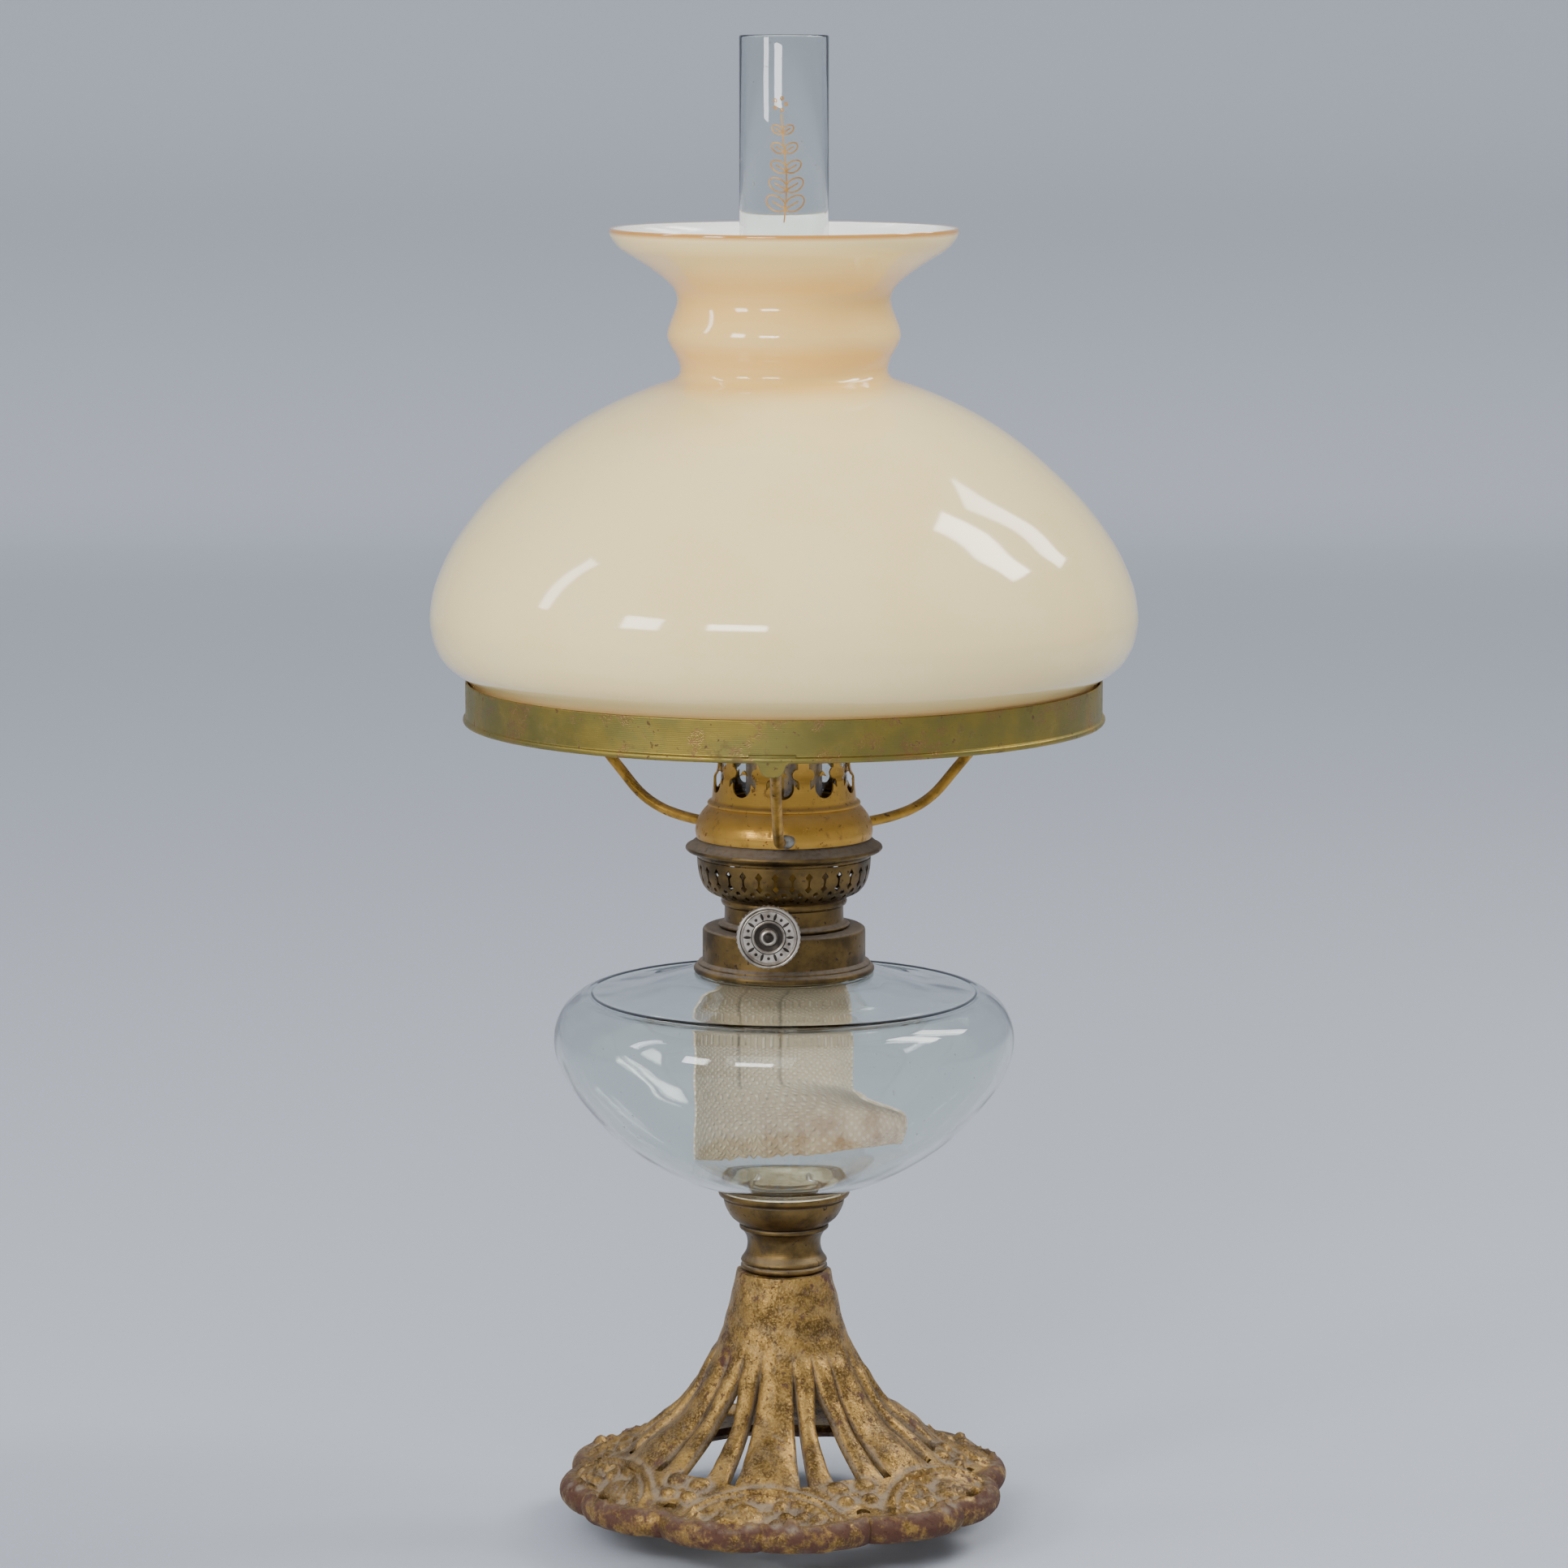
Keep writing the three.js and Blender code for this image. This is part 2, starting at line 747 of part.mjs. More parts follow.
// The inner tube, with the fin in the seam of the wick that holds it to the outer one.
function draughtTube() {
  const bottom = drawInTop - 8;
  const top = neckTop + wickTubeHeight - 1;
  const outer = draughtTubeRadius;
  const tube = solid(revolve(ringSection(outer - sheet, outer, bottom, top), sides));
  const finLength = flameTubeRadius - touch - outer + sheet / 2;
  const fin = new THREE.BoxGeometry(0.8, finLength, top - drawInTop - 2);
  fin.translate(0, -(outer - sheet / 2 + finLength / 2), (top + drawInTop + 2) / 2);
  return tube.add(solid(fin));
}

// ---- Wick feed ----

function spindleBush() {
  const start = -(neckRadius + bushLength - 2);
  const bore = spindleRadius + running;
  return turnedOnSpindle(ringSection(bore, bushRadius, start, start + bushLength), 16);
}

function wickSpindle() {
  const front = -(knobReach + 0.6);
  return turnedOnSpindle(ringSection(0, spindleRadius, front, spindleTail), 12);
}

function cogWheel() {
  const outline = [];
  for (let i = 0; i < cogTeeth; i++) {
    for (let quarter = 0; quarter < 4; quarter++) {
      const radius = quarter < 2 ? cogRadius : cogRadius - cogToothDepth;
      const a = (2 * Math.PI * (i + quarter / 4)) / cogTeeth;
      outline.push(v2(radius * Math.cos(a), radius * Math.sin(a)));
    }
  }
  const shape = new THREE.Shape(outline);
  shape.holes.push(new THREE.Path().absarc(0, 0, spindleRadius + touch, 0, 2 * Math.PI, true));
  return new THREE.ExtrudeGeometry(shape, { depth: cogThickness, bevelEnabled: false, curveSegments: 8 })
    .translate(0, 0, -cogThickness / 2)
    .rotateX(Math.PI / 2);
}

const knobFront = -knobReach;

function wickKnob() {
  const back = knobFront + knobThickness;
  const bore = spindleRadius + touch;
  return turnedOnSpindle(
    [
      [bore, back + 2],
      [bore, knobFront + 1.6],
      [knobRadius * 0.5, knobFront + 1.6],
      [knobRadius * 0.56, knobFront + 0.9],
      [knobRadius * 0.86, knobFront + 0.9],
      [knobRadius * 0.9, knobFront],
      [knobRadius * 0.97, knobFront + 0.4],
      [knobRadius, knobFront + 1.4],
      [knobRadius, back - 0.6],
      [knobRadius * 0.92, back],
      [bore + 2.2, back],
      [bore + 1.6, back + 2],
    ],
    20,
  );
}

// The riveted end of the spindle, a dome on the knob's face with a blind hole for the spindle's end.
function knobRivet() {
  const bore = spindleRadius + touch;
  const deep = -(knobReach + 0.6) - touch;
  return turnedOnSpindle(
    [
      [0, deep],
      [bore, deep],
      [bore, knobFront + 1.6 - touch],
      [3.6, knobFront + 1.6 - touch],
      [3.3, knobFront + 0.2],
      [1.9, knobFront - 1.4],
      [0, knobFront - 1.7],
    ],
    12,
  );
}

// ---- Wick ----

const cogGapLeft = (Math.asin((spindleRadius + 1 - spindleOffset) / wickFeedRadius) * 180) / Math.PI;
const wickLooseTop = fontTop - wickTravel - 6;
const wickOpenBottom = fontBottom + 0.4 * fontBellyHeight;

// The wick's roll at a height: its middle radius, where its left edge is, how far round it goes and how open
// it is.
function wickRoll(z) {
  const drawn = smoothstep((z - feedTop) / drawInHeight);
  const loose = smoothstep((fontTop - wickTravel - z) / 16);
  const open = smoothstep((wickLooseTop - 16 - z) / (wickLooseTop - 16 - wickOpenBottom));
  let radius = THREE.MathUtils.lerp(wickFeedRadius, wickTopRadius, drawn);
  radius = THREE.MathUtils.lerp(radius, wickLooseRadius, loose);
  const flat = 1 + 1.1 * open;
  const whole = (wickWidth / radius) * (180 / Math.PI);
  const seamShare = THREE.MathUtils.lerp(cogGapLeft / (360 - whole), 0.5, Math.max(drawn, loose));
  return { radius: radius * flat, left: (360 - whole) * seamShare, whole: whole / flat, open };
}

// The cloth is a box bent onto the roll: x runs round it, y through it and z up it.
function wick() {
  const bottom = fontBottom + fontWall + 3;
  const gathered = fontTop - wickTravel;
  const rows = [
    bottom,
    bottom + 8,
    wickOpenBottom,
    (wickOpenBottom + gathered - 16) / 2,
    gathered - 16,
    gathered - 8,
    gathered,
    feedTop,
    feedTop + drawInHeight / 2,
    feedTop + drawInHeight,
    wickTop,
  ];
  const geometry = new THREE.BoxGeometry(1, 1, 1, 16, 1, rows.length - 1);
  const position = geometry.getAttribute("position");
  for (let i = 0; i < position.count; i++) {
    const z = rows[Math.round((position.getZ(i) + 0.5) * (rows.length - 1))];
    const { radius, left, whole, open } = wickRoll(z);
    const start = THREE.MathUtils.lerp(-left, -180 + whole / 2, smoothstep(open * 4));
    const azimuth = start - (0.5 - position.getX(i)) * whole;
    const through = radius + position.getY(i) * wickThickness;
    const place = azimuthPoint(through, azimuth, z);
    place.y += (radius - wickLooseRadius) * (open > 0 ? -1 : 0);
    place.x += open * 6;
    const floor = fontFloor(Math.hypot(place.x, place.y)) + 4;
    position.setXYZ(i, place.x, place.y, Math.max(z, floor + (z - bottom) * 0.5));
  }
  return geometry;
}

// ---- Shade carrier ----

// The gallery's outer face, from its lower edge to the prongs' tips.
function galleryOutline() {
  const crown = seatTop + 1.5;
  const grip = chimneyRadius + 2 * touch + gallerySheet;
  return [
    [galleryRadius - 0.2, galleryBottom],
    ...curve(
      [
        [galleryRadius, galleryBottom + 1.4],
        [galleryRadius - 0.3, galleryBottom + 0.35 * galleryHeight],
        [galleryRadius - 2.2, galleryBottom + 0.62 * galleryHeight],
        [galleryRadius - 5, galleryBottom + 0.86 * galleryHeight],
      ],
      3,
    ),
    [chimneyRadius + 4.4, seatTop - 1.2],
    [chimneyRadius + 3.2, seatTop - 0.3],
    [chimneyRadius + 3.1, seatTop + 0.8],
    [chimneyRadius + 2.5, crown],
    [chimneyRadius + 2.5, seatTop + 0.36 * crownHeight],
    [grip, seatTop + 0.66 * crownHeight],
    [grip + 0.3, seatTop + crownHeight],
  ];
}

function chimneyGallery() {
  const profile = shell(galleryOutline(), gallerySheet);
  const gapBottom = seatTop + 3.4;
  const centre = gapBottom + prongGapRadius;
  const top = seatTop + crownHeight + 1;
  const pitch = (2 * Math.PI * (chimneyRadius + 1)) / prongs;
  const arc = [-90, -40, 10].map((a) => [
    prongGapRadius * Math.cos(degrees(a)),
    centre + prongGapRadius * Math.sin(degrees(a)),
  ]);
  const right = [...arc, [0.22 * pitch, centre + 5], [0.42 * pitch, top]];
  const gap = [...right, ...right.slice(1).map(([s, z]) => [-s, z]).reverse()];
  let crown = solid(revolve(profile, 2 * prongs));
  for (let i = 0; i < prongs; i++) {
    crown = crown.subtract(radialCutter(gap, 4 + (i * 360) / prongs, chimneyRadius - 4, chimneyRadius + 8));
  }
  return crown;
}

function chimneySeat() {
  const outer = chimneyRadius + 3.2 - gallerySheet - 2 * touch;
  return revolve(ringSection(seatInnerRadius, outer, seatTop - sheet, seatTop), 24);
}

function carrierArm(azimuth) {
  const start = galleryRadius + touch + 0.2;
  const end = ringRadius - ringSheet - touch;
  const low = galleryBottom + 3.3;
  const high = ringBottom - armRadius - touch;
  const out = (share) => start + share * (end - start);
  const up = (share) => low + share * (high - low);
  // Shares of the way out and of the way up: level at both ends, steep between them.
  const bends = [
    [0, 0],
    [0.14, 0.02],
    [0.26, 0.1],
    [0.36, 0.23],
    [0.46, 0.5],
    [0.56, 0.78],
    [0.66, 0.9],
    [0.82, 0.97],
    [1, 1],
  ];
  const path = new THREE.CatmullRomCurve3(bends.map(([s, t]) => azimuthPoint(out(s), azimuth, up(t))));
  const section = new THREE.Shape().absarc(0, 0, armRadius, 0, 2 * Math.PI);
  return new THREE.ExtrudeGeometry(section, { steps: 11, extrudePath: path, curveSegments: 3 });
}

// The ring that holds the shade, with a lug under it for each arm.
function shadeRing() {
  const inner = ringRadius - ringSheet;
  const top = ringBottom + ringHeight;
  const profile = [
    [inner - ringLedge + ringSheet, ringBottom],
    [ringRadius - 0.4, ringBottom],
    [ringRadius + 1.1, ringBottom + 1.4],
    [ringRadius, ringBottom + 3.4],
    [ringRadius, top],
    [inner, top],
    [inner, ringBottom + ringSheet],
    [inner - ringLedge + ringSheet, ringBottom + ringSheet],
  ];
  let ring = solid(revolve(profile, 30));
  const half = lugWidth / 2;
  const lug = [
    [-half * 0.6, ringBottom - lugDrop],
    [half * 0.6, ringBottom - lugDrop],
    [half, ringBottom + 1],
    [-half, ringBottom + 1],
  ];
  for (let i = 0; i < arms; i++) {
    ring = ring.add(radialCutter(lug, armTurn + (i * 360) / arms, inner, ringRadius + 0.4));
  }
  return ring;
}

// ---- Shade and chimney ----

function glassShade() {
  const z = (height) => shadeBottom + height;
  const dome = [
    [1, 0],
    [0.975, 0.155],
    [0.845, 0.395],
    [0.63, 0.637],
    [0.42, 0.8],
    [0.278, 0.88],
    [0.1, 0.96],
    [0.01, 1],
  ];
  const swell = shadeRadius - shadeFitRadius;
  const belly = shadeBellyHeight - shadeFitHeight;
  const lower = curve(
    [[0, 0], [0.5, 0.19], [0.8, 0.46], [0.95, 0.7], [1, 1]].map(([out, up]) => [
      shadeFitRadius + out * swell,
      z(shadeFitHeight + up * belly),
    ]),
    4,
  );
  const upper = curve(
    dome.map(([out, up]) => [
      THREE.MathUtils.lerp(shadeNeckRadius, shadeRadius, out),
      z(THREE.MathUtils.lerp(shadeBellyHeight, shadeDomeHeight, up)),
    ]),
    6,
  );
  const neck = curve(
    [
      [shadeNeckRadius, z(shadeDomeHeight + 2.5)],
      [shadeBulgeRadius - 0.6, z(shadeBulgeHeight - 4)],
      [shadeBulgeRadius, z(shadeBulgeHeight)],
      [shadeThroatRadius + 0.6, z(shadeThroatHeight - 4)],
      [shadeThroatRadius, z(shadeThroatHeight)],
      [
        THREE.MathUtils.lerp(shadeThroatRadius, shadeRimRadius, 0.2),
        z(THREE.MathUtils.lerp(shadeThroatHeight, shadeHeight, 0.34)),
      ],
      [shadeRimRadius - 4.5, z(shadeHeight - 5.4)],
      [shadeRimRadius, z(shadeHeight)],
    ],
    7,
  );
  const outline = [[shadeFitRadius, z(0)], ...lower, ...upper.slice(1), ...neck];
  return revolve(shell(outline, shadeWall), 24);
}

function glassChimney() {
  const z = (height) => chimneyBottom + height;
  const outline = [
    [chimneyRadius, z(0)],
    [chimneyRadius, z(chimneyBulbHeight - 4)],
    [chimneyRadius - 1.4, z(chimneyBulbHeight)],
    [chimneyWaistRadius + 2.2, z(chimneyWaistHeight - 4)],
    [chimneyWaistRadius, z(chimneyWaistHeight)],
    [chimneyTubeRadius, z(chimneyWaistHeight + 12)],
    [chimneyTubeRadius, z(chimneyHeight)],
  ];
  return revolve(shell(outline, chimneyWall), 18);
}

// ---- Assembly ----

function group(...members) {
  const made = new THREE.Group();
  made.add(...members);
  return made;
}

const stand = group(
  piece("base_casting", footCasting(), castIron),
  piece("tie_bolt", tieBolt(), steel),
  piece("tie_washer", tieWasher(), steel),
  piece("tie_nut", tieNut(), steel),
  piece("stem_neck", stemNeck(), darkBrass),
  piece("font_cup", fontCup(), darkBrass),
  piece("font_plaster", fontPlaster(), plaster),
  piece("glass_font", glassFont(), clearGlass),
  piece("collar_cement", collarCement(), plaster),
  piece("font_collar", fontCollar(), darkBrass),
);

const wickFeed = group(
  piece("wick_spindle", wickSpindle(), steel),
  piece("wick_knob", wickKnob(), nickel),
  piece("knob_rivet", knobRivet(), nickel),
);
[["front_cog", -cogSpacing / 2], ["rear_cog", cogSpacing / 2]].forEach(([name, y]) => {
  const cog = piece(name, cogWheel(), brass);
  cog.position.y = y;
  wickFeed.add(cog);
});
wickFeed.position.set(spindleOffset, 0, spindleHeight);

const bush = piece("spindle_bush", spindleBush(), darkBrass);
bush.position.set(spindleOffset, 0, spindleHeight);

const burner = group(
  piece("burner_neck", burnerNeck(), darkBrass),
  piece("air_basket", airBasket(), darkBrass),
  piece("vase_ring", vaseRing(), darkBrass),
  piece("air_screen", airScreen(), brass),
  piece("wick_tube", wickTube(), brass),
  piece("draught_tube", draughtTube(), brass),
  piece("wick", wick(), cotton),
  bush,
  wickFeed,
);

const carrier = group(
  piece("chimney_gallery", chimneyGallery(), brass),
  piece("chimney_seat", chimneySeat(), brass),
  piece("shade_ring", shadeRing(), agedBrass),
  ...["front", "right", "left"].map((side, i) =>
    piece("carrier_arm_" + side, carrierArm(armTurn + (i * 360) / arms), agedBrass),
  ),
);

const glassware = group(
  piece("glass_shade", glassShade(), opalGlass),
  piece("glass_chimney", glassChimney(), clearGlass),
);

export default group(stand, burner, carrier, glassware);
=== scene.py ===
import math
import random

import bmesh
import bpy
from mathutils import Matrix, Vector, noise


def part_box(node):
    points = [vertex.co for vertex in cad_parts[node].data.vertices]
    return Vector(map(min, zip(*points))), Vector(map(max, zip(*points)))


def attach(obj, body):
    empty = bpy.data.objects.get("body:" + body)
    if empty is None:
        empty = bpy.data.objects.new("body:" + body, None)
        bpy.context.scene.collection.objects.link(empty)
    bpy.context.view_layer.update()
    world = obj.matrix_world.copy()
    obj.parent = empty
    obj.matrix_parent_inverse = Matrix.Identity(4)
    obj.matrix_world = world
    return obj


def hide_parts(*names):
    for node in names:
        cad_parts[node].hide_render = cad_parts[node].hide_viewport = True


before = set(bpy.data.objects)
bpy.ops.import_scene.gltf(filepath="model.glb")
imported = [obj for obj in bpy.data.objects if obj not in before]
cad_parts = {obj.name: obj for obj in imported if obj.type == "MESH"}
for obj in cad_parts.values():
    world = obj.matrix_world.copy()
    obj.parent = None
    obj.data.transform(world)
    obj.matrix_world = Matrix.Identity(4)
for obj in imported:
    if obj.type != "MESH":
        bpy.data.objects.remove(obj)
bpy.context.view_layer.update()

bl_info = {
    "name": "Round-wick table lamp",
    "version": (1, 0, 0),
    "blender": (4, 5, 0),
    "location": "View3D > Sidebar > Oil lamp",
    "description": "Builds an oil lamp with a cast foot, a glass font, a round-wick burner and an opal shade",
    "category": "Add Mesh",
}

MM = 0.001
TURN = 2 * math.pi


# ---- Places on the frame ----

JOINT_GAP = 0.35  # millimetres between pieces that meet
LUG_DROP = 5  # millimetres that the shade ring's lugs hang below its band
LOOSE_RADIUS = 21.5  # millimetres: the wick's roll where it leaves the burner


BOXES = {name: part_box(name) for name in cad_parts}


def low(node):
    """Height of a frame part's lower end, in millimetres."""
    return BOXES[node][0][2] / MM


def high(node):
    """Height of a frame part's upper end, in millimetres."""
    return BOXES[node][1][2] / MM


# ---- Settings that a user would change ----


def linear(hex_value):
    """A colour from sRGB hex to linear."""
    parts = [int(hex_value[i:i + 2], 16) / 255 for i in (1, 3, 5)]
    return tuple(c / 12.92 if c <= 0.04045 else ((c + 0.055) / 1.055) ** 2.4 for c in parts) + (1.0,)


def millimetres(name, description, default):
    """A length that a user sets. Its default is given in millimetres."""
    return bpy.props.FloatProperty(name=name, description=description, default=default * MM, min=0.0,
                                   precision=5, subtype="DISTANCE")


def colour(name, description, hex_value):
    """A colour that a user sets. Its default is given in sRGB hex."""
    return bpy.props.FloatVectorProperty(name=name, description=description, default=linear(hex_value)[:3],
                                         min=0.0, max=1.0, subtype="COLOR")


class LampSizes(bpy.types.PropertyGroup):
    """Sizes of the lamp's own details."""

    rib_height: millimetres("Rib height", "How far the foot's stalks stand out", 2.6)
    casting_wall: millimetres("Casting wall", "Thickness of the foot's iron", 3.4)
    casting_grain: millimetres("Casting grain", "Size of the lumps on the cast surface", 1.1)
    sheet: millimetres("Sheet", "Thickness of the spun brass", 0.7)
    arm_radius: millimetres("Arm radius", "Half the thickness of the carrier's arms", 2.0)
    wick_width: millimetres("Wick width", "Width of the woven wick when laid flat", 76.0)
    wick_thickness: millimetres("Wick thickness", "Thickness of the woven wick", 1.5)
    thread_spacing: millimetres("Thread spacing", "Distance between the wick's threads", 1.5)
    opal_wall: millimetres("Opal wall", "Thickness of the shade's glass", 3.0)
    chimney_wall: millimetres("Chimney wall", "Thickness of the chimney's glass", 1.4)
    font_wall: millimetres("Font wall", "Thickness of the font's glass", 2.6)
    gilt_line: millimetres("Gilt line", "Width of the gilt lines on the chimney", 0.55)


class LampColours(bpy.types.PropertyGroup):
    """Colours of the lamp's finishes."""

    gilding: colour("Gilding", "Sound gilding on the foot", "#9C7A40")
    old_gilding: colour("Old gilding", "Rubbed gilding on the foot", "#5C4420")
    rust: colour("Rust", "Iron that shows through the gilding", "#4C2D1F")
    dust: colour("Dust", "Dust that lies in the hollows", "#857868")
    dark_brass: colour("Dark brass", "Tarnished brass of the stem and burner", "#4F4028")
    rubbed_brass: colour("Rubbed brass", "Brass where hands have rubbed it", "#786038")
    golden_brass: colour("Golden brass", "Brass of the chimney gallery", "#BE9242")
    stained_brass: colour("Stained brass", "Heat stains on the gallery", "#7A4F1E")
    olive_brass: colour("Olive brass", "Patina of the shade ring", "#93803F")
    green_brass: colour("Green brass", "Greenish patina of the shade ring", "#827842")
    bitten_brass: colour("Bitten brass", "Marks bitten into the ring", "#8F6A48")
    nickel: colour("Nickel", "Worn nickel of the knob", "#C9BFB2")
    opal: colour("Opal", "Outer skin of the shade", "#FFE3A6")
    opal_deep: colour("Deep opal", "Outer skin where it is thick", "#F0C268")
    wick: colour("Wick", "Clean cotton", "#DCCDB6")
    wick_stain: colour("Wick stain", "Cotton that stood in oil", "#8A6A4C")
    backdrop: colour("Backdrop", "Studio paper", "#B3B8C2")


def size(name):
    """One of the lamp's sizes, in millimetres."""
    return round(getattr(bpy.context.scene.lamp_sizes, name) / MM, 4)


def paint(name):
    """One of the lamp's colours, with its alpha."""
    return (*getattr(bpy.context.scene.lamp_colours, name), 1.0)


# ---- Outlines: lists of (radius, height) in millimetres ----


def through(points, steps=6):
    """A smooth curve through the points, with this many steps between each pair."""
    padded = [points[0], *points, points[-1]]
    curve = []
    for a, b, c, d in zip(padded, padded[1:], padded[2:], padded[3:]):
        for step in range(steps):
            t = step / steps
            curve.append(tuple(
                0.5 * (2 * q + (r - p) * t + (2 * p - 5 * q + 4 * r - s) * t * t
                       + (3 * q - p - 3 * r + s) * t ** 3)
                for p, q, r, s in zip(a, b, c, d)
            ))
    return curve + [tuple(points[-1])]


def eased(outline, radius=0.3):
    """The closed outline with each sharp corner rounded off."""
    soft = []
    count = len(outline)
    for i, corner in enumerate(outline):
        before, after = outline[i - 1], outline[(i + 1) % count]
        here = Vector(corner)
        back, ahead = Vector(before) - here, Vector(after) - here
        if corner[0] == 0 or back.length < 1e-6 or ahead.length < 1e-6:
            soft.append(corner)
            continue
        if math.pi - back.angle(ahead) < math.radians(24):
            soft.append(corner)
            continue
        start = here + back.normalized() * min(radius, 0.45 * back.length)
        stop = here + ahead.normalized() * min(radius, 0.45 * ahead.length)
        for t in (0, 0.33, 0.67, 1):
            soft.append(tuple(start * (1 - t) ** 2 + here * 2 * t * (1 - t) + stop * t * t))
    return soft


def beside(outline, distance):
    """The outline moved sideways, to the left of its direction where the distance is positive."""
    moved = []
    for i, (r, z) in enumerate(outline):
        r0, z0 = outline[max(i - 1, 0)]
        r1, z1 = outline[min(i + 1, len(outline) - 1)]
        length = math.hypot(r1 - r0, z1 - z0) or 1
        moved.append((r - (z1 - z0) / length * distance, z + (r1 - r0) / length * distance))
    return moved


def evenly(outline, spacing):
    """The outline with its points respaced to about this distance."""
    run = [0.0]
    for (r0, z0), (r1, z1) in zip(outline, outline[1:]):
        run.append(run[-1] + math.hypot(r1 - r0, z1 - z0))
    count = max(2, round(run[-1] / spacing))
    points, k = [], 0
    for i in range(count + 1):
        at = run[-1] * i / count
        while k < len(run) - 2 and run[k + 1] < at:
            k += 1
        t = (at - run[k]) / ((run[k + 1] - run[k]) or 1)
        points.append(tuple(p + (q - p) * t for p, q in zip(outline[k], outline[k + 1])))
    return points


def stepped(t):
    """0 below 0, 1 above 1, and a smooth rise between."""
    t = min(max(t, 0.0), 1.0)
    return t * t * (3 - 2 * t)


# ---- Meshes ----


def place(radius, degrees, z):
    """A point by its radius, its azimuth from the front and its height, in millimetres."""
    angle = math.radians(degrees)
    return Vector((radius * math.sin(angle), -radius * math.cos(angle), z))


def piece(name, shape, body, finishes, stands_for=(), marks=None, sharp=38):
    """A piece of the lamp from points in millimetres. It rides on a body and may stand for frame parts."""
    points, faces = shape
    mesh = bpy.data.meshes.new(name)
    mesh.from_pydata([tuple(c * MM for c in p) for p in points], [], faces)
    for mark, values in (marks or {}).items():
        layer = mesh.attributes.new(mark, "FLOAT", "POINT")
        layer.data.foreach_set("value", values)
    solid = bmesh.new()
    solid.from_mesh(mesh)
    loose = [v for v in solid.verts if not v.link_faces]
    bmesh.ops.delete(solid, geom=loose, context="VERTS")
    bmesh.ops.recalc_face_normals(solid, faces=solid.faces)
    for face in solid.faces:
        face.smooth = True
    for edge in solid.edges:
        if len(edge.link_faces) == 2 and edge.calc_face_angle(0) > math.radians(sharp):
            edge.smooth = False
    solid.to_mesh(mesh)
    solid.free()
    made = bpy.data.objects.new(name, mesh)
    bpy.context.collection.objects.link(made)
    for skin in finishes.split():
        mesh.materials.append(finish(skin))
    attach(made, body)
    if stands_for:
        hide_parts(*stands_for)
    return made


def turned(outline, facets=144, ridge=None):
    """Points and faces of an outline turned round the lamp's axis. It ends on the axis or closes on itself.

    ridge takes (degrees, radius, height) and gives how far the surface stands out, in millimetres.
    """
    points, faces, rings = [], [], []
    for r, z in outline:
        if r < 1e-6:
            rings.append([len(points)] * facets)
            points.append(Vector((0, 0, z)))
        else:
            rings.append(range(len(points), len(points) + facets))
            turns = [360 * k / facets for k in range(facets)]
            points.extend(place(r + (ridge(turn, r, z) if ridge else 0), turn, z) for turn in turns)
    pairs = list(zip(rings, rings[1:]))
    if outline[0][0] > 1e-6:
        pairs.append((rings[-1], rings[0]))
    for a, b in pairs:
        for k in range(facets):
            n = (k + 1) % facets
            corners = list(dict.fromkeys((a[k], a[n], b[n], b[k])))
            if len(corners) > 2:
                faces.append(corners)
    return points, faces


def spun(points, degrees):
    """Points turned about the lamp's axis."""
    across, along = math.cos(math.radians(degrees)), math.sin(math.radians(degrees))
    return [Vector((p.x * across - p.y * along, p.x * along + p.y * across, p.z)) for p in points]


def bands(rings, sides):
    """Faces between this many rings of points, one ring after the other."""
    faces = []
    for i in range(rings - 1):
        for k in range(sides):
            n = (k + 1) % sides
            faces.append([i * sides + k, i * sides + n, (i + 1) * sides + n, (i + 1) * sides + k])
    return faces


def joined(*parts):
    """Points and faces of several shapes as one."""
    points, faces = [], []
    for part_points, part_faces in parts:
        base = len(points)
        points.extend(part_points)
        faces.extend([base + i for i in face] for face in part_faces)
    return points, faces


def shell(outline, wall):
    """A sheet's closed outline from its outer face, drawn upwards."""
    return list(outline) + beside(outline, wall)[::-1]


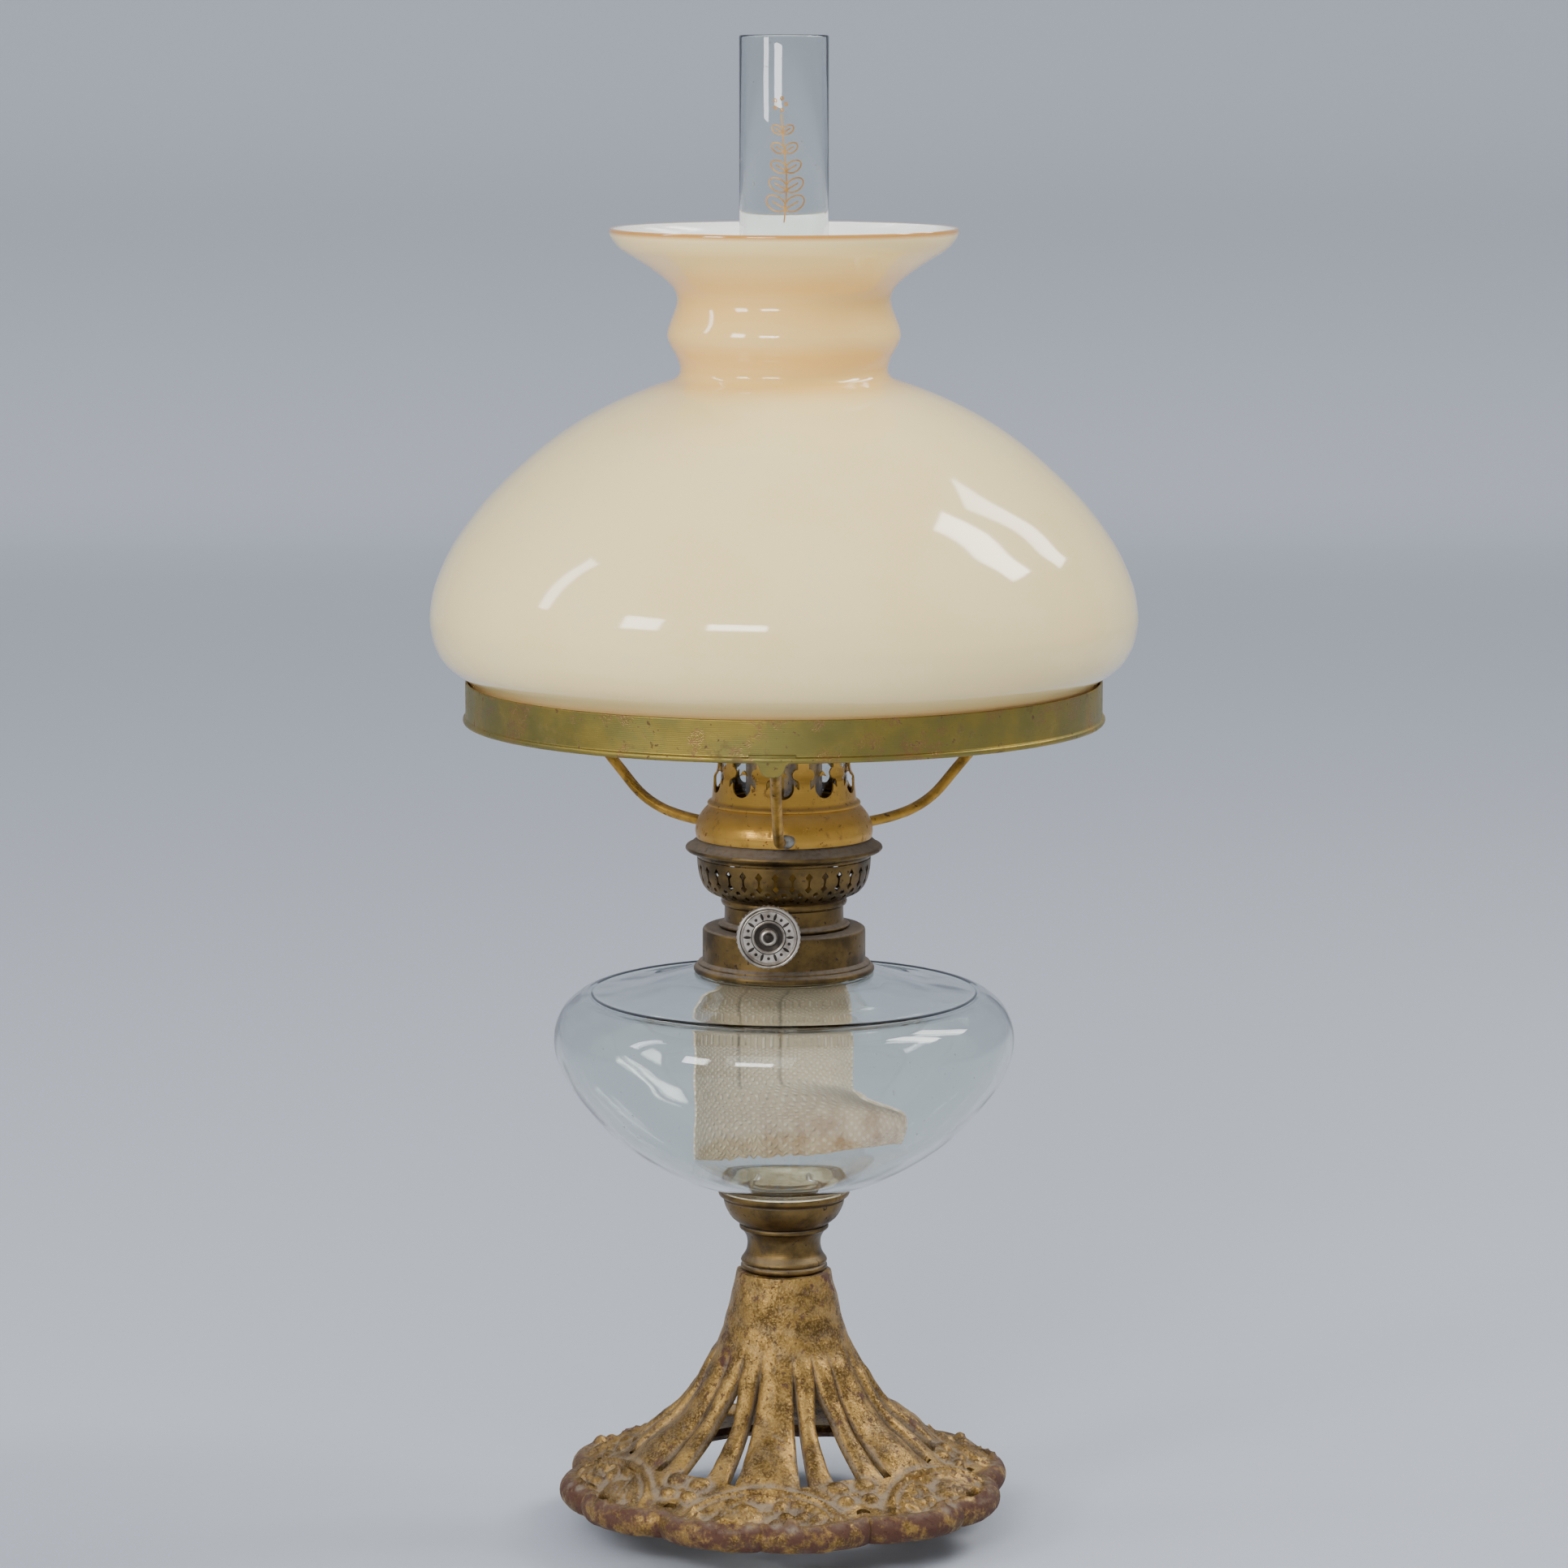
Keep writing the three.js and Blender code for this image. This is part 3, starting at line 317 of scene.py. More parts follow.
def openwork(outline, columns, sectors, wall, hole, relief=None):
    """A turned wall, from its outer face drawn downwards, with a repeated relief and holes cut through it.

    hole and relief take (degrees within the sector, radius, height) and give millimetres. hole is the
    distance inside a hole's edge. relief is the height above the outline and a move in or out.
    """
    nudge, longest_step, furthest = 0.15, 0.3, 0.48  # shares of the spacing between points
    rows = len(outline)
    total = columns * sectors
    normals = [(b[0] - a[0], b[1] - a[1]) for a, b in zip(outline, beside(outline, 1))]
    span = 360 / sectors

    def at(row, column):
        i = min(max(int(row), 0), rows - 2)
        t = row - i
        r, z = (p + (q - p) * t for p, q in zip(outline[i], outline[i + 1]))
        nr, nz = (p + (q - p) * t for p, q in zip(normals[i], normals[i + 1]))
        return column * span / columns, r, z, nr, nz

    def inside(row, column):
        degrees, r, z, _, _ = at(row, column)
        return hole(degrees, r, z)

    where = {}
    for i in range(rows):
        for j in range(columns):
            row, column = float(i), float(j)
            width = math.radians(span / columns) * at(row, column)[1]
            height = math.dist(outline[min(i + 1, rows - 1)], outline[max(i - 1, 0)]) / 2
            if abs(inside(row, column)) < 0.7 * max(width, height):
                # A point near a hole's edge slides along the wall onto the edge.
                for _ in range(3):
                    across = inside(row, column + nudge) - inside(row, column - nudge)
                    along = inside(row + nudge, column) - inside(row - nudge, column)
                    across, along = across / (2 * nudge * width), along / (2 * nudge * height)
                    steep = across * across + along * along
                    if steep < 0.05:
                        break
                    now = inside(row, column)
                    column += max(-longest_step, min(longest_step, -now * across / steep / width))
                    row += max(-longest_step, min(longest_step, -now * along / steep / height))
                row = min(max(row, 0.0), rows - 1.0)
                column = min(max(column, j - furthest), j + furthest)
                row = min(max(row, i - furthest), i + furthest)
            where[i, j] = (row, column)
    outer, inner, lifts = [], [], []
    for i in range(rows):
        for k in range(total):
            j = k % columns
            row, column = where[i, j]
            degrees, r, z, nr, nz = at(row, column)
            lift = relief(degrees, r, z) if relief else (0.0, 0.0)
            turn = (k - j) * span / columns + degrees
            outer.append(place(r + nr * lift[0] + lift[1], turn, z + nz * lift[0]))
            inner.append(place(r - nr * wall + lift[1], turn, z - nz * wall))
            lifts.append(lift[0])
    keep = {}
    for i in range(rows - 1):
        for j in range(columns):
            corners = [(i, j), (i + 1, j), (i, j + 1), (i + 1, j + 1)]
            spots = [where[a, b] if b < columns else (where[a, 0][0], where[a, 0][1] + columns) for a,
                     b in corners]
            keep[i, j] = inside(sum(s[0] for s in spots) / 4, sum(s[1] for s in spots) / 4) <= 0
    faces = []
    far = len(outer)

    def kept(i, k):
        return 0 <= i < rows - 1 and keep[i, (k % total) % columns]

    for i in range(rows):
        for k in range(total):
            n = (k + 1) % total
            here, right = i * total + k, i * total + n
            if kept(i, k):
                below, across = here + total, right + total
                faces.append([here, right, across, below])
                faces.append([far + below, far + across, far + right, far + here])
            if kept(i, k) != kept(i - 1, k):
                faces.append([here, right, far + right, far + here])
            if i < rows - 1 and kept(i, k) != kept(i, k - 1):
                faces.append([here, here + total, far + here + total, far + here])
    return outer + inner, faces, lifts


def swept(path, radius, sides=20):
    """A round rod along a path of points in millimetres, with rounded ends."""
    points = []
    run = [path[0] + (path[0] - path[1]).normalized() * radius * s for s in (0.95, 0.6)]
    stop = [path[-1] + (path[-1] - path[-2]).normalized() * radius * s for s in (0.6, 0.95)]
    whole = run + list(path) + stop
    widths = [0.3, 0.8] + [1.0] * len(path) + [0.8, 0.3]
    side = Vector((0, 0, 1)).cross(path[-1] - path[0]).normalized()
    for i, (centre, width) in enumerate(zip(whole, widths)):
        ahead = (whole[min(i + 1, len(whole) - 1)] - whole[max(i - 1, 0)]).normalized()
        up = ahead.cross(side).normalized()
        for k in range(sides):
            a = TURN * k / sides
            points.append(centre + (side * math.cos(a) + up * math.sin(a)) * radius * width)
    faces = bands(len(whole), sides)
    faces.append(list(range(sides)))
    faces.append(list(range(len(points) - sides, len(points))))
    return points, faces


def extruded(outline, low_z, high_z, soft):
    """A flat outline of (x, y) points raised between two heights, with chamfered edges."""
    middle = Vector((sum(p[0] for p in outline), sum(p[1] for p in outline))) / len(outline)
    layers = [(low_z, soft), (low_z + soft, 0), (high_z - soft, 0), (high_z, soft)]
    points = []
    count = len(outline)
    for z, inset in layers:
        for p in outline:
            flat = Vector(p)
            flat += (middle - flat).normalized() * inset
            points.append(Vector((flat.x, flat.y, z)))
    faces = bands(len(layers), count)
    faces.append(list(range(count)))
    faces.append(list(range(len(points) - count, len(points))))
    return points, faces


# ---- Materials ----


def every(mm):
    """A texture's scale for a pattern that repeats about every so many millimetres."""
    return 1 / (mm * MM)


def add(tree, kind, inputs=(), **settings):
    """Adds a shader node with its settings.

    Its inputs come in order or by name. A node or a socket is linked, and anything else is set.
    """
    made = tree.nodes.new("ShaderNode" + kind)
    for name, value in settings.items():
        setattr(made, name, value)
    for name, value in inputs.items() if isinstance(inputs, dict) else enumerate(inputs):
        if isinstance(value, bpy.types.Node):
            value = next(socket for socket in value.outputs if socket.enabled)
        if isinstance(value, bpy.types.NodeSocket):
            tree.links.new(value, made.inputs[name])
        else:
            made.inputs[name].default_value = value
    return made


def started(name):
    """An empty material, its node tree and its coordinates in metres."""
    made = bpy.data.materials.new(name)
    made.use_nodes = True
    made.node_tree.nodes.clear()
    where = add(made.node_tree, "TexCoord").outputs["Object"]
    return made, made.node_tree, where


def specks(tree, where, mm, low_edge, high_edge, detail=4.0, rough=0.6):
    """A noise of that size, cut to 0 below one edge and 1 above the other."""
    grain = add(tree, "TexNoise", {"Vector": where, "Scale": every(mm), "Detail": detail, "Roughness": rough})
    edges = {"Value": grain, "From Min": low_edge, "From Max": high_edge}
    return add(tree, "MapRange", edges, interpolation_type="SMOOTHSTEP")


def ended(tree, shader, bump_height, bump_mm, lights_through=False):
    """Links the shader to the output, with a bump of that depth."""
    bump = add(tree, "Bump", {"Height": bump_height, "Strength": 1.0, "Distance": bump_mm * MM})
    tree.links.new(bump.outputs["Normal"], shader.inputs["Normal"])
    surface = shader
    if lights_through:
        shadow = add(tree, "LightPath").outputs["Is Shadow Ray"]
        clear = add(tree, "BsdfTransparent", {"Color": (0.93, 0.94, 0.93, 1)})
        surface = add(tree, "MixShader", (shadow, shader, clear))
    add(tree, "OutputMaterial", {"Surface": surface})


def upward(tree, start, stop):
    """1 on ledges that face up, 0 on walls."""
    normal = add(tree, "NewGeometry").outputs["Normal"]
    part = add(tree, "SeparateXYZ", {"Vector": normal}).outputs["Z"]
    edges = {"Value": part, "From Min": start, "From Max": stop}
    return add(tree, "MapRange", edges, interpolation_type="SMOOTHSTEP")


def gilded_iron():
    """Sand-cast grey iron, bronzed and gilded. The eye gets a grainy dull gold, rubbed to red-brown iron on
    the edges, with grey dust in the hollows and small painted glints of lighter gold."""
    made, tree, where = started("gilded_cast_iron")
    hollow = add(tree, "Attribute", attribute_name="hollow").outputs["Fac"]
    rim = add(tree, "Attribute", attribute_name="rim").outputs["Fac"]
    mottle = specks(tree, where, 9, 0.38, 0.62, 5)
    pits = specks(tree, where, 1.9, 0.60, 0.66, 3)
    patches = specks(tree, where, 15, 0.575, 0.64, 6, 0.7)
    # Painted highlights: small specks of lighter gold stand in for glints of light on the grain.
    painted_glint_specks = specks(tree, where, 0.9, 0.45, 0.62, 2)
    gold = add(tree, "Mix", {0: mottle, 6: paint("old_gilding"), 7: paint("gilding")}, data_type="RGBA")
    painted_glints = add(tree, "Math", (painted_glint_specks, 0.35), operation="MULTIPLY")
    gold = add(tree, "Mix", {0: painted_glints, 6: gold, 7: linear("#C4A264")}, data_type="RGBA")
    worn_rim = add(tree, "Math", (rim, specks(tree, where, 7, 0.36, 0.55, 5, 0.7)), operation="MULTIPLY")
    pitted = add(tree, "Math", (pits, 0.75), operation="MULTIPLY")
    bare = add(tree, "Math", (patches, worn_rim), operation="MAXIMUM")
    bare = add(tree, "Math", (bare, pitted), operation="MAXIMUM")
    metal = add(tree, "Mix", {0: bare, 6: gold, 7: paint("rust")}, data_type="RGBA")
    powder = specks(tree, where, 6, 0.35, 0.62, 4)
    settled = add(tree, "Math", (upward(tree, 0.45, 0.95), powder), operation="MULTIPLY")
    settled = add(tree, "Math", (settled, 0.25), operation="MULTIPLY")
    packed = add(tree, "Math", (hollow, 0.75), operation="MULTIPLY")
    dusty = add(tree, "Math", (packed, settled), operation="MAXIMUM")
    skin = add(tree, "Mix", {0: dusty, 6: metal, 7: paint("dust")}, data_type="RGBA")
    dull = add(tree, "Math", (bare, dusty), operation="MAXIMUM")
    shine = add(tree, "Math", (1.0, dull), operation="SUBTRACT")
    grain_scale = every(size("casting_grain"))
    grain = add(tree, "TexNoise", {"Vector": where, "Scale": grain_scale, "Detail": 3.0, "Roughness": 0.6})
    holes = add(tree, "Math", (pits, 0.8), operation="MULTIPLY")
    lumps = add(tree, "Math", (grain, holes), operation="SUBTRACT")
    shader = add(tree, "BsdfPrincipled", {
        "Base Color": skin,
        "Metallic": add(tree, "MapRange", {"Value": shine, "To Min": 0.1, "To Max": 0.85}),
        "Roughness": add(tree, "MapRange", {"Value": shine, "To Min": 0.8, "To Max": 0.42}),
    })
    ended(tree, shader, lumps, 0.32)
    return made


def tarnished_brass(name, base, rubbed, dark, patch_mm, dust_share, rough, marks=0.0):
    """Spun or turned brass under an old lacquer. The eye gets a brown metal with lighter rubbed patches, dark
    specks, faint lathe lines and, on ledges, dust."""
    made, tree, where = started(name)
    cloudy = specks(tree, where, patch_mm, 0.36, 0.64, 5)
    skin = add(tree, "Mix", {0: cloudy, 6: base, 7: rubbed}, data_type="RGBA")
    spots = specks(tree, where, 2.6, 0.63, 0.70, 3)
    stain = specks(tree, where, patch_mm * 0.6, 0.56, 0.68, 6, 0.72)
    faint = add(tree, "Math", (stain, 0.55), operation="MULTIPLY")
    spoiled = add(tree, "Math", (spots, faint), operation="MAXIMUM")
    skin = add(tree, "Mix", {0: spoiled, 6: skin, 7: dark}, data_type="RGBA")
    shine = add(tree, "Math", (1.0, spoiled), operation="SUBTRACT")
    height = add(tree, "MapRange", {"Value": spoiled, "To Min": 0.5, "To Max": 0.2})
    if marks:
        net = add(tree, "TexVoronoi", {"Vector": where, "Scale": every(1.3)}, feature="DISTANCE_TO_EDGE")
        edges = {"Value": net.outputs["Distance"], "From Min": 0.03, "From Max": 0.16}
        bites = add(tree, "MapRange", {**edges, "To Min": 1.0, "To Max": 0.0})
        bites = add(tree, "Math", (bites, specks(tree, where, 13, 0.55, 0.60, 3)), operation="MULTIPLY")
        bitten = add(tree, "Math", (bites, marks), operation="MULTIPLY")
        skin = add(tree, "Mix", {0: bitten, 6: skin, 7: paint("bitten_brass")}, data_type="RGBA")
        eaten = add(tree, "Math", (bites, 0.8), operation="MULTIPLY")
        height = add(tree, "Math", (height, eaten), operation="SUBTRACT")
    if dust_share:
        powder = specks(tree, where, 1.6, 0.3, 0.6, 4)
        powder = add(tree, "MapRange", {"Value": powder, "To Min": 0.55, "To Max": 1.0})
        lying = add(tree, "Math", (upward(tree, 0.35, 0.9), powder), operation="MULTIPLY")
        lying = add(tree, "Math", (lying, dust_share), operation="MULTIPLY")
        skin = add(tree, "Mix", {0: lying, 6: skin, 7: linear("#81766B")}, data_type="RGBA")
        open_metal = add(tree, "Math", (1.0, lying), operation="SUBTRACT")
        shine = add(tree, "Math", (shine, open_metal), operation="MINIMUM")
    lines = add(tree, "TexWave", {"Vector": where, "Scale": every(2.2), "Distortion": 1.2, "Detail": 2.0},
                wave_type="BANDS", bands_direction="Z").outputs["Fac"]
    lathe = add(tree, "Math", (lines, 0.25), operation="MULTIPLY")
    height = add(tree, "Math", (height, lathe), operation="ADD")
    dents = add(tree, "TexNoise", {"Vector": where, "Scale": every(6), "Detail": 2.0})
    dents = add(tree, "Math", (dents, 1.5), operation="MULTIPLY")
    height = add(tree, "Math", (height, dents), operation="ADD")
    smudge = add(tree, "Math", (specks(tree, where, 11, 0.3, 0.7, 4), 0.14), operation="MULTIPLY")
    rough_now = add(tree, "MapRange", {"Value": shine, "To Min": 0.78, "To Max": rough})
    shader = add(tree, "BsdfPrincipled", {
        "Base Color": skin,
        "Metallic": add(tree, "MapRange", {"Value": shine, "To Min": 0.25, "To Max": 0.95}),
        "Roughness": add(tree, "Math", (rough_now, smudge), operation="ADD"),
    })
    ended(tree, shader, height, 0.05)
    return made


def dark_brass():
    """Brown brass of the stem, cup, collar and burner."""
    return tarnished_brass("tarnished_dark_brass", paint("dark_brass"), paint("rubbed_brass"),
                           linear("#2E2118"), 12, 0.85, 0.34)


def golden_brass():
    """Brass of the gallery and the wick tubes, which heat has kept golden."""
    return tarnished_brass("spun_golden_brass", paint("golden_brass"), linear("#C99A48"),
                           paint("stained_brass"), 10, 0.35, 0.26)


def rod_brass():
    """Drawn brass rod of the bent arms."""
    return tarnished_brass("drawn_rod_brass", linear("#8C6A2C"), paint("golden_brass"), linear("#4A3218"), 7,
                           0.25, 0.36)


def olive_brass():
    """Strip brass of the shade ring, with an olive patina and bitten marks."""
    return tarnished_brass("strip_brass_olive_patina", paint("olive_brass"), paint("green_brass"),
                           linear("#5C4526"), 16, 0.0, 0.36, marks=0.75)


def plain_metal(name, base, dark, rough, metallic=0.95):
    """Rolled or turned metal with a thin oxide. The eye gets one dull colour with darker clouds."""
    made, tree, where = started(name)
    clouds = specks(tree, where, 5, 0.35, 0.68, 5)
    skin = add(tree, "Mix", {0: clouds, 6: base, 7: dark}, data_type="RGBA")
    fine = add(tree, "TexNoise", {"Vector": where, "Scale": every(0.7), "Detail": 2.0})
    rough_now = add(tree, "MapRange", {"Value": clouds, "To Min": rough, "To Max": rough + 0.2})
    shader = add(tree, "BsdfPrincipled", {"Base Color": skin, "Metallic": metallic, "Roughness": rough_now})
    ended(tree, shader, fine, 0.03)
    return made


def clear_glass(name, tint, dust_mm):
    """Blown soda-lime glass. The eye gets a faint grey tint, soft waves and specks of dust."""
    made, tree, where = started(name)
    waves = add(tree, "TexNoise", {"Vector": where, "Scale": every(28), "Detail": 1.0})
    dust = specks(tree, where, dust_mm, 0.735, 0.76, 2)
    skin = add(tree, "Mix", {0: dust, 6: linear(tint), 7: linear("#8B8276")}, data_type="RGBA")
    shader = add(tree, "BsdfPrincipled", {
        "Base Color": skin,
        "Roughness": add(tree, "MapRange", {"Value": dust, "To Min": 0.015, "To Max": 0.6}),
        "Transmission Weight": add(tree, "MapRange", {"Value": dust, "To Min": 1.0, "To Max": 0.35}),
        "IOR": 1.47,
    })
    ended(tree, shader, waves, 0.25, lights_through=True)
    return made


def opal_outer():
    """Cased opal glass, cream over white. The eye gets a glossy, faintly glowing cream, deeper in the neck,
    with a thin amber line where the casing ends."""
    made, tree, where = started("cased_opal_glass_cream")
    edge = add(tree, "Attribute", attribute_name="edge").outputs["Fac"]
    deep = add(tree, "Attribute", attribute_name="deep").outputs["Fac"]
    drift = specks(tree, where, 60, 0.3, 0.7, 2)
    drift = add(tree, "MapRange", {"Value": drift, "To Min": 0.0, "To Max": 0.16})
    depth = add(tree, "Math", (deep, drift), operation="ADD")
    skin = add(tree, "Mix", {0: depth, 6: paint("opal"), 7: paint("opal_deep")}, data_type="RGBA")
    skin = add(tree, "Mix", {0: edge, 6: skin, 7: linear("#C08A3E")}, data_type="RGBA")
    waves = add(tree, "TexNoise", {"Vector": where, "Scale": every(45), "Detail": 1.0})
    shader = add(tree, "BsdfPrincipled", {
        "Base Color": skin, "Roughness": 0.09, "IOR": 1.5, "Coat Weight": 0.3, "Coat Roughness": 0.03,
        "Subsurface Weight": 0.35, "Subsurface Radius": (1.0, 0.75, 0.45), "Subsurface Scale": 0.006,
    })
    ended(tree, shader, waves, 0.25)
    return made


def opal_inner():
    """The white layer inside the shade: smooth, bright and even."""
    made, tree, where = started("opal_glass_white")
    drift = specks(tree, where, 40, 0.3, 0.7, 2)
    skin = add(tree, "Mix", {0: drift, 6: linear("#F7F5F0"), 7: linear("#EFEBE2")}, data_type="RGBA")
    shader = add(tree, "BsdfPrincipled", {
        "Base Color": skin, "Roughness": 0.14, "IOR": 1.5,
        "Subsurface Weight": 0.35, "Subsurface Radius": (1.0, 0.9, 0.8), "Subsurface Scale": 0.006,
    })
    ended(tree, shader, drift, 0.05)
    return made


def woven_cotton():
    """Thick plain-woven cotton wick. The eye gets rows of plump threads, cream, with painted shade where the
    threads dip, a brown stain at the foot and two dark marker threads."""
    made, tree, where = started("woven_cotton_wick")
    across = add(tree, "Attribute", attribute_name="across").outputs["Fac"]
    along = add(tree, "Attribute", attribute_name="along").outputs["Fac"]
    cloth = add(tree, "CombineXYZ", {"X": across, "Y": along})
    pitch = math.pi / (size("thread_spacing") * MM)
    warp = add(tree, "Math", (across, pitch), operation="MULTIPLY")
    weft = add(tree, "Math", (along, pitch), operation="MULTIPLY")
    warp = add(tree, "Math", (warp,), operation="SINE")
    weft = add(tree, "Math", (weft,), operation="SINE")
    crossings = add(tree, "Math", (warp, weft), operation="MULTIPLY")
    weave = add(tree, "MapRange", {"Value": crossings, "To Min": 0.0, "To Max": 1.0})
    fuzz = add(tree, "TexNoise", {"Vector": where, "Scale": every(0.9), "Detail": 3.0})
    stain = add(tree, "Attribute", attribute_name="stain").outputs["Fac"]
    blotch = specks(tree, where, 8, 0.4, 0.62, 5)
    blotch = add(tree, "MapRange", {"Value": blotch, "To Min": 0.35, "To Max": 1.0})
    soaked = add(tree, "Math", (stain, blotch), operation="MULTIPLY")
    marker = add(tree, "Attribute", attribute_name="marker").outputs["Fac"]
    broken = add(tree, "TexNoise", {"Vector": cloth, "Scale": every(3), "Detail": 2.0})
    marked = add(tree, "Math", (marker, broken), operation="MULTIPLY")
    # Painted shade: the cotton turns darker where the threads dip between the crossings.
    cotton_with_weave_shade = add(tree, "Mix", {0: weave, 6: linear("#BCA98E"), 7: paint("wick")}, data_type="RGBA")
    skin = add(tree, "Mix", {0: soaked, 6: cotton_with_weave_shade, 7: paint("wick_stain")}, data_type="RGBA")
    skin = add(tree, "Mix", {0: marked, 6: skin, 7: linear("#3A342E")}, data_type="RGBA")
    fluff = add(tree, "Math", (fuzz, 0.5), operation="MULTIPLY")
    height = add(tree, "Math", (weave, fluff), operation="ADD")
    shader = add(tree, "BsdfPrincipled", {
        "Base Color": skin, "Roughness": 0.95, "Sheen Weight": 0.25, "Sheen Roughness": 0.5,
    })
    ended(tree, shader, height, 0.5)
    return made


def set_plaster():
    """Gypsum plaster, poured and scraped. The eye gets a chalky off-white with grey stains."""
    made, tree, where = started("set_plaster")
    clouds = specks(tree, where, 4, 0.35, 0.65, 5)
    skin = add(tree, "Mix", {0: clouds, 6: linear("#D8D0BE"), 7: linear("#A99C86")}, data_type="RGBA")
    fine = add(tree, "TexNoise", {"Vector": where, "Scale": every(0.8), "Detail": 4.0})
    shader = add(tree, "BsdfPrincipled", {"Base Color": skin, "Roughness": 0.92})
    ended(tree, shader, fine, 0.15)
    return made


def studio_paper():
    """Seamless paper: matt, pale grey-blue, with the faint fibre that keeps it from looking like plastic."""
    made, tree, where = started("studio_paper")
    fibre = specks(tree, where, 4, 0.3, 0.7, 3)
    faint = add(tree, "Math", (fibre, 0.06), operation="MULTIPLY")
    skin = add(tree, "Mix", {0: faint, 6: paint("backdrop"), 7: linear("#C6CAD2")}, data_type="RGBA")
    shader = add(tree, "BsdfPrincipled", {"Base Color": skin, "Roughness": 0.85})
    ended(tree, shader, fibre, 0.02)
    return made


FINISHES = {
    "gilded_iron": gilded_iron,
    "dark_brass": dark_brass,
    "golden_brass": golden_brass,
    "rod_brass": rod_brass,
    "olive_brass": olive_brass,
    "nickel": lambda: plain_metal("worn_nickel_plate", paint("nickel"), linear("#8C8176"), 0.28),
    "blackened": lambda: plain_metal("blackened_nickel", linear("#3A332C"), linear("#221D19"), 0.45, 0.7),
    "steel": lambda: plain_metal("dull_mild_steel", linear("#77726C"), linear("#4B4038"), 0.4),
    "solder": lambda: plain_metal("soft_solder", linear("#A5A29C"), linear("#6F6A62"), 0.5),
    "font_glass": lambda: clear_glass("blown_font_glass", "#EDF2F0", 1.7),
    "chimney_glass": lambda: clear_glass("drawn_chimney_glass", "#F1F5F4", 2.1),
    "opal_outer": opal_outer,
    "opal_inner": opal_inner,
    "cotton": woven_cotton,
    "plaster": set_plaster,
    "gilt_line": lambda: plain_metal("fired_gilt_line", linear("#C79A58"), linear("#A87A3C"), 0.4, 0.6),
    "paper": studio_paper,
}


def finish(name):
    """A finish's material, made the first time that it is asked for."""
    key = "finish_" + name
    if key not in bpy.context.scene:
        bpy.context.scene[key] = FINISHES[name]()
    return bpy.context.scene[key]


# ---- Stage ----

EYE_DISTANCE = 2.061  # metres
EYE_HEIGHT = 0.571  # metres
EYE_PITCH = 8.16  # degrees below level
LENS = 126.5  # millimetres


def soft_light(name, where, target, width, height, watts, tint, shines=True):
    """A rectangular light aimed at a point, which reflections show only where it shines."""
    lamp = bpy.data.lights.new(name, "AREA")
    lamp.shape = "RECTANGLE"
    lamp.size, lamp.size_y = width, height
    lamp.energy = watts
    lamp.color = linear(tint)[:3]
    made = bpy.data.objects.new(name, lamp)
    made.location = where
    made.rotation_euler = (Vector(target) - Vector(where)).to_track_quat("-Z", "Y").to_euler()
    made.visible_glossy = shines
    bpy.context.collection.objects.link(made)


class LampOperator:
    """What all the lamp's operators share."""

    bl_options = {"REGISTER", "UNDO"}

    def execute(self, context):
        self.make()
        return {"FINISHED"}


class LAMP_OT_stage(LampOperator, bpy.types.Operator):
    """Adds the camera, the soft lights and the paper that the lamp stands on"""

    bl_idname = "lamp.stage"
    bl_label = "Stage"

    def make(self):
        eye = bpy.data.cameras.new("camera")
        eye.lens = LENS
        eye.sensor_width = 36
        eye.dof.use_dof = False
        camera = bpy.data.objects.new("camera", eye)
        camera.location = (0, -EYE_DISTANCE, EYE_HEIGHT)
        camera.rotation_euler = (math.radians(90 - EYE_PITCH), 0, 0)
        bpy.context.collection.objects.link(camera)
        bpy.context.scene.camera = camera

        paper = bpy.data.meshes.new("paper")
        bend = through([(-9.0, 0.0), (1.5, 0.0), (3.2, 0.25), (4.0, 1.2), (4.2, 6.0)], 10)
        points = [(x, y, z) for y, z in bend for x in (-9.0, 9.0)]
        quads = [(2 * i, 2 * i + 1, 2 * i + 3, 2 * i + 2) for i in range(len(bend) - 1)]
        paper.from_pydata(points, [], quads)
        for face in paper.polygons:
            face.use_smooth = True
        sweep = bpy.data.objects.new("paper", paper)
        bpy.context.collection.objects.link(sweep)
        paper.materials.append(finish("paper"))

        world = bpy.data.worlds.new("studio")
        world.use_nodes = True
        sky = world.node_tree.nodes["Background"]
        sky.inputs["Color"].default_value = linear("#D3D7DE")
        sky.inputs["Strength"].default_value = 0.9
        bpy.context.scene.world = world
        middle = (0, 0, 0.32)
        soft_light("window", (1.45, 0.15, 1.75), middle, 0.35, 0.9, 22, "#FFFDF8")
        soft_light("second_pane", (1.35, 0.75, 1.55), middle, 0.25, 0.9, 9, "#FFFDF8")
        soft_light("left_window", (-1.55, -0.1, 1.35), middle, 0.14, 0.8, 5, "#F4F6FF")
        soft_light("front_box", (-0.6, -2.6, 1.9), middle, 1.8, 1.2, 26, "#FFFFFF", shines=False)
        soft_light("tube", (-0.48, -1.8, 1.07), middle, 0.62, 0.22, 11, "#FFFFFF")
        soft_light("far_tube", (-1.39, -1.3, 1.08), middle, 0.45, 0.4, 12, "#FFFFFF")
        daylight = bpy.data.lights.new("daylight", "SUN")
        daylight.energy = 0.8
        daylight.angle = math.radians(75)
        made = bpy.data.objects.new("daylight", daylight)
        made.rotation_euler = (math.radians(45), 0, math.radians(-12))
        made.visible_glossy = False
        bpy.context.collection.objects.link(made)


# ---- Foot ----

MEDALLION = 60.0  # degrees from one medallion to the next
FOOT_TURN = -6.0  # degrees
SLIT = 13.5  # degrees from a medallion's middle to its slits


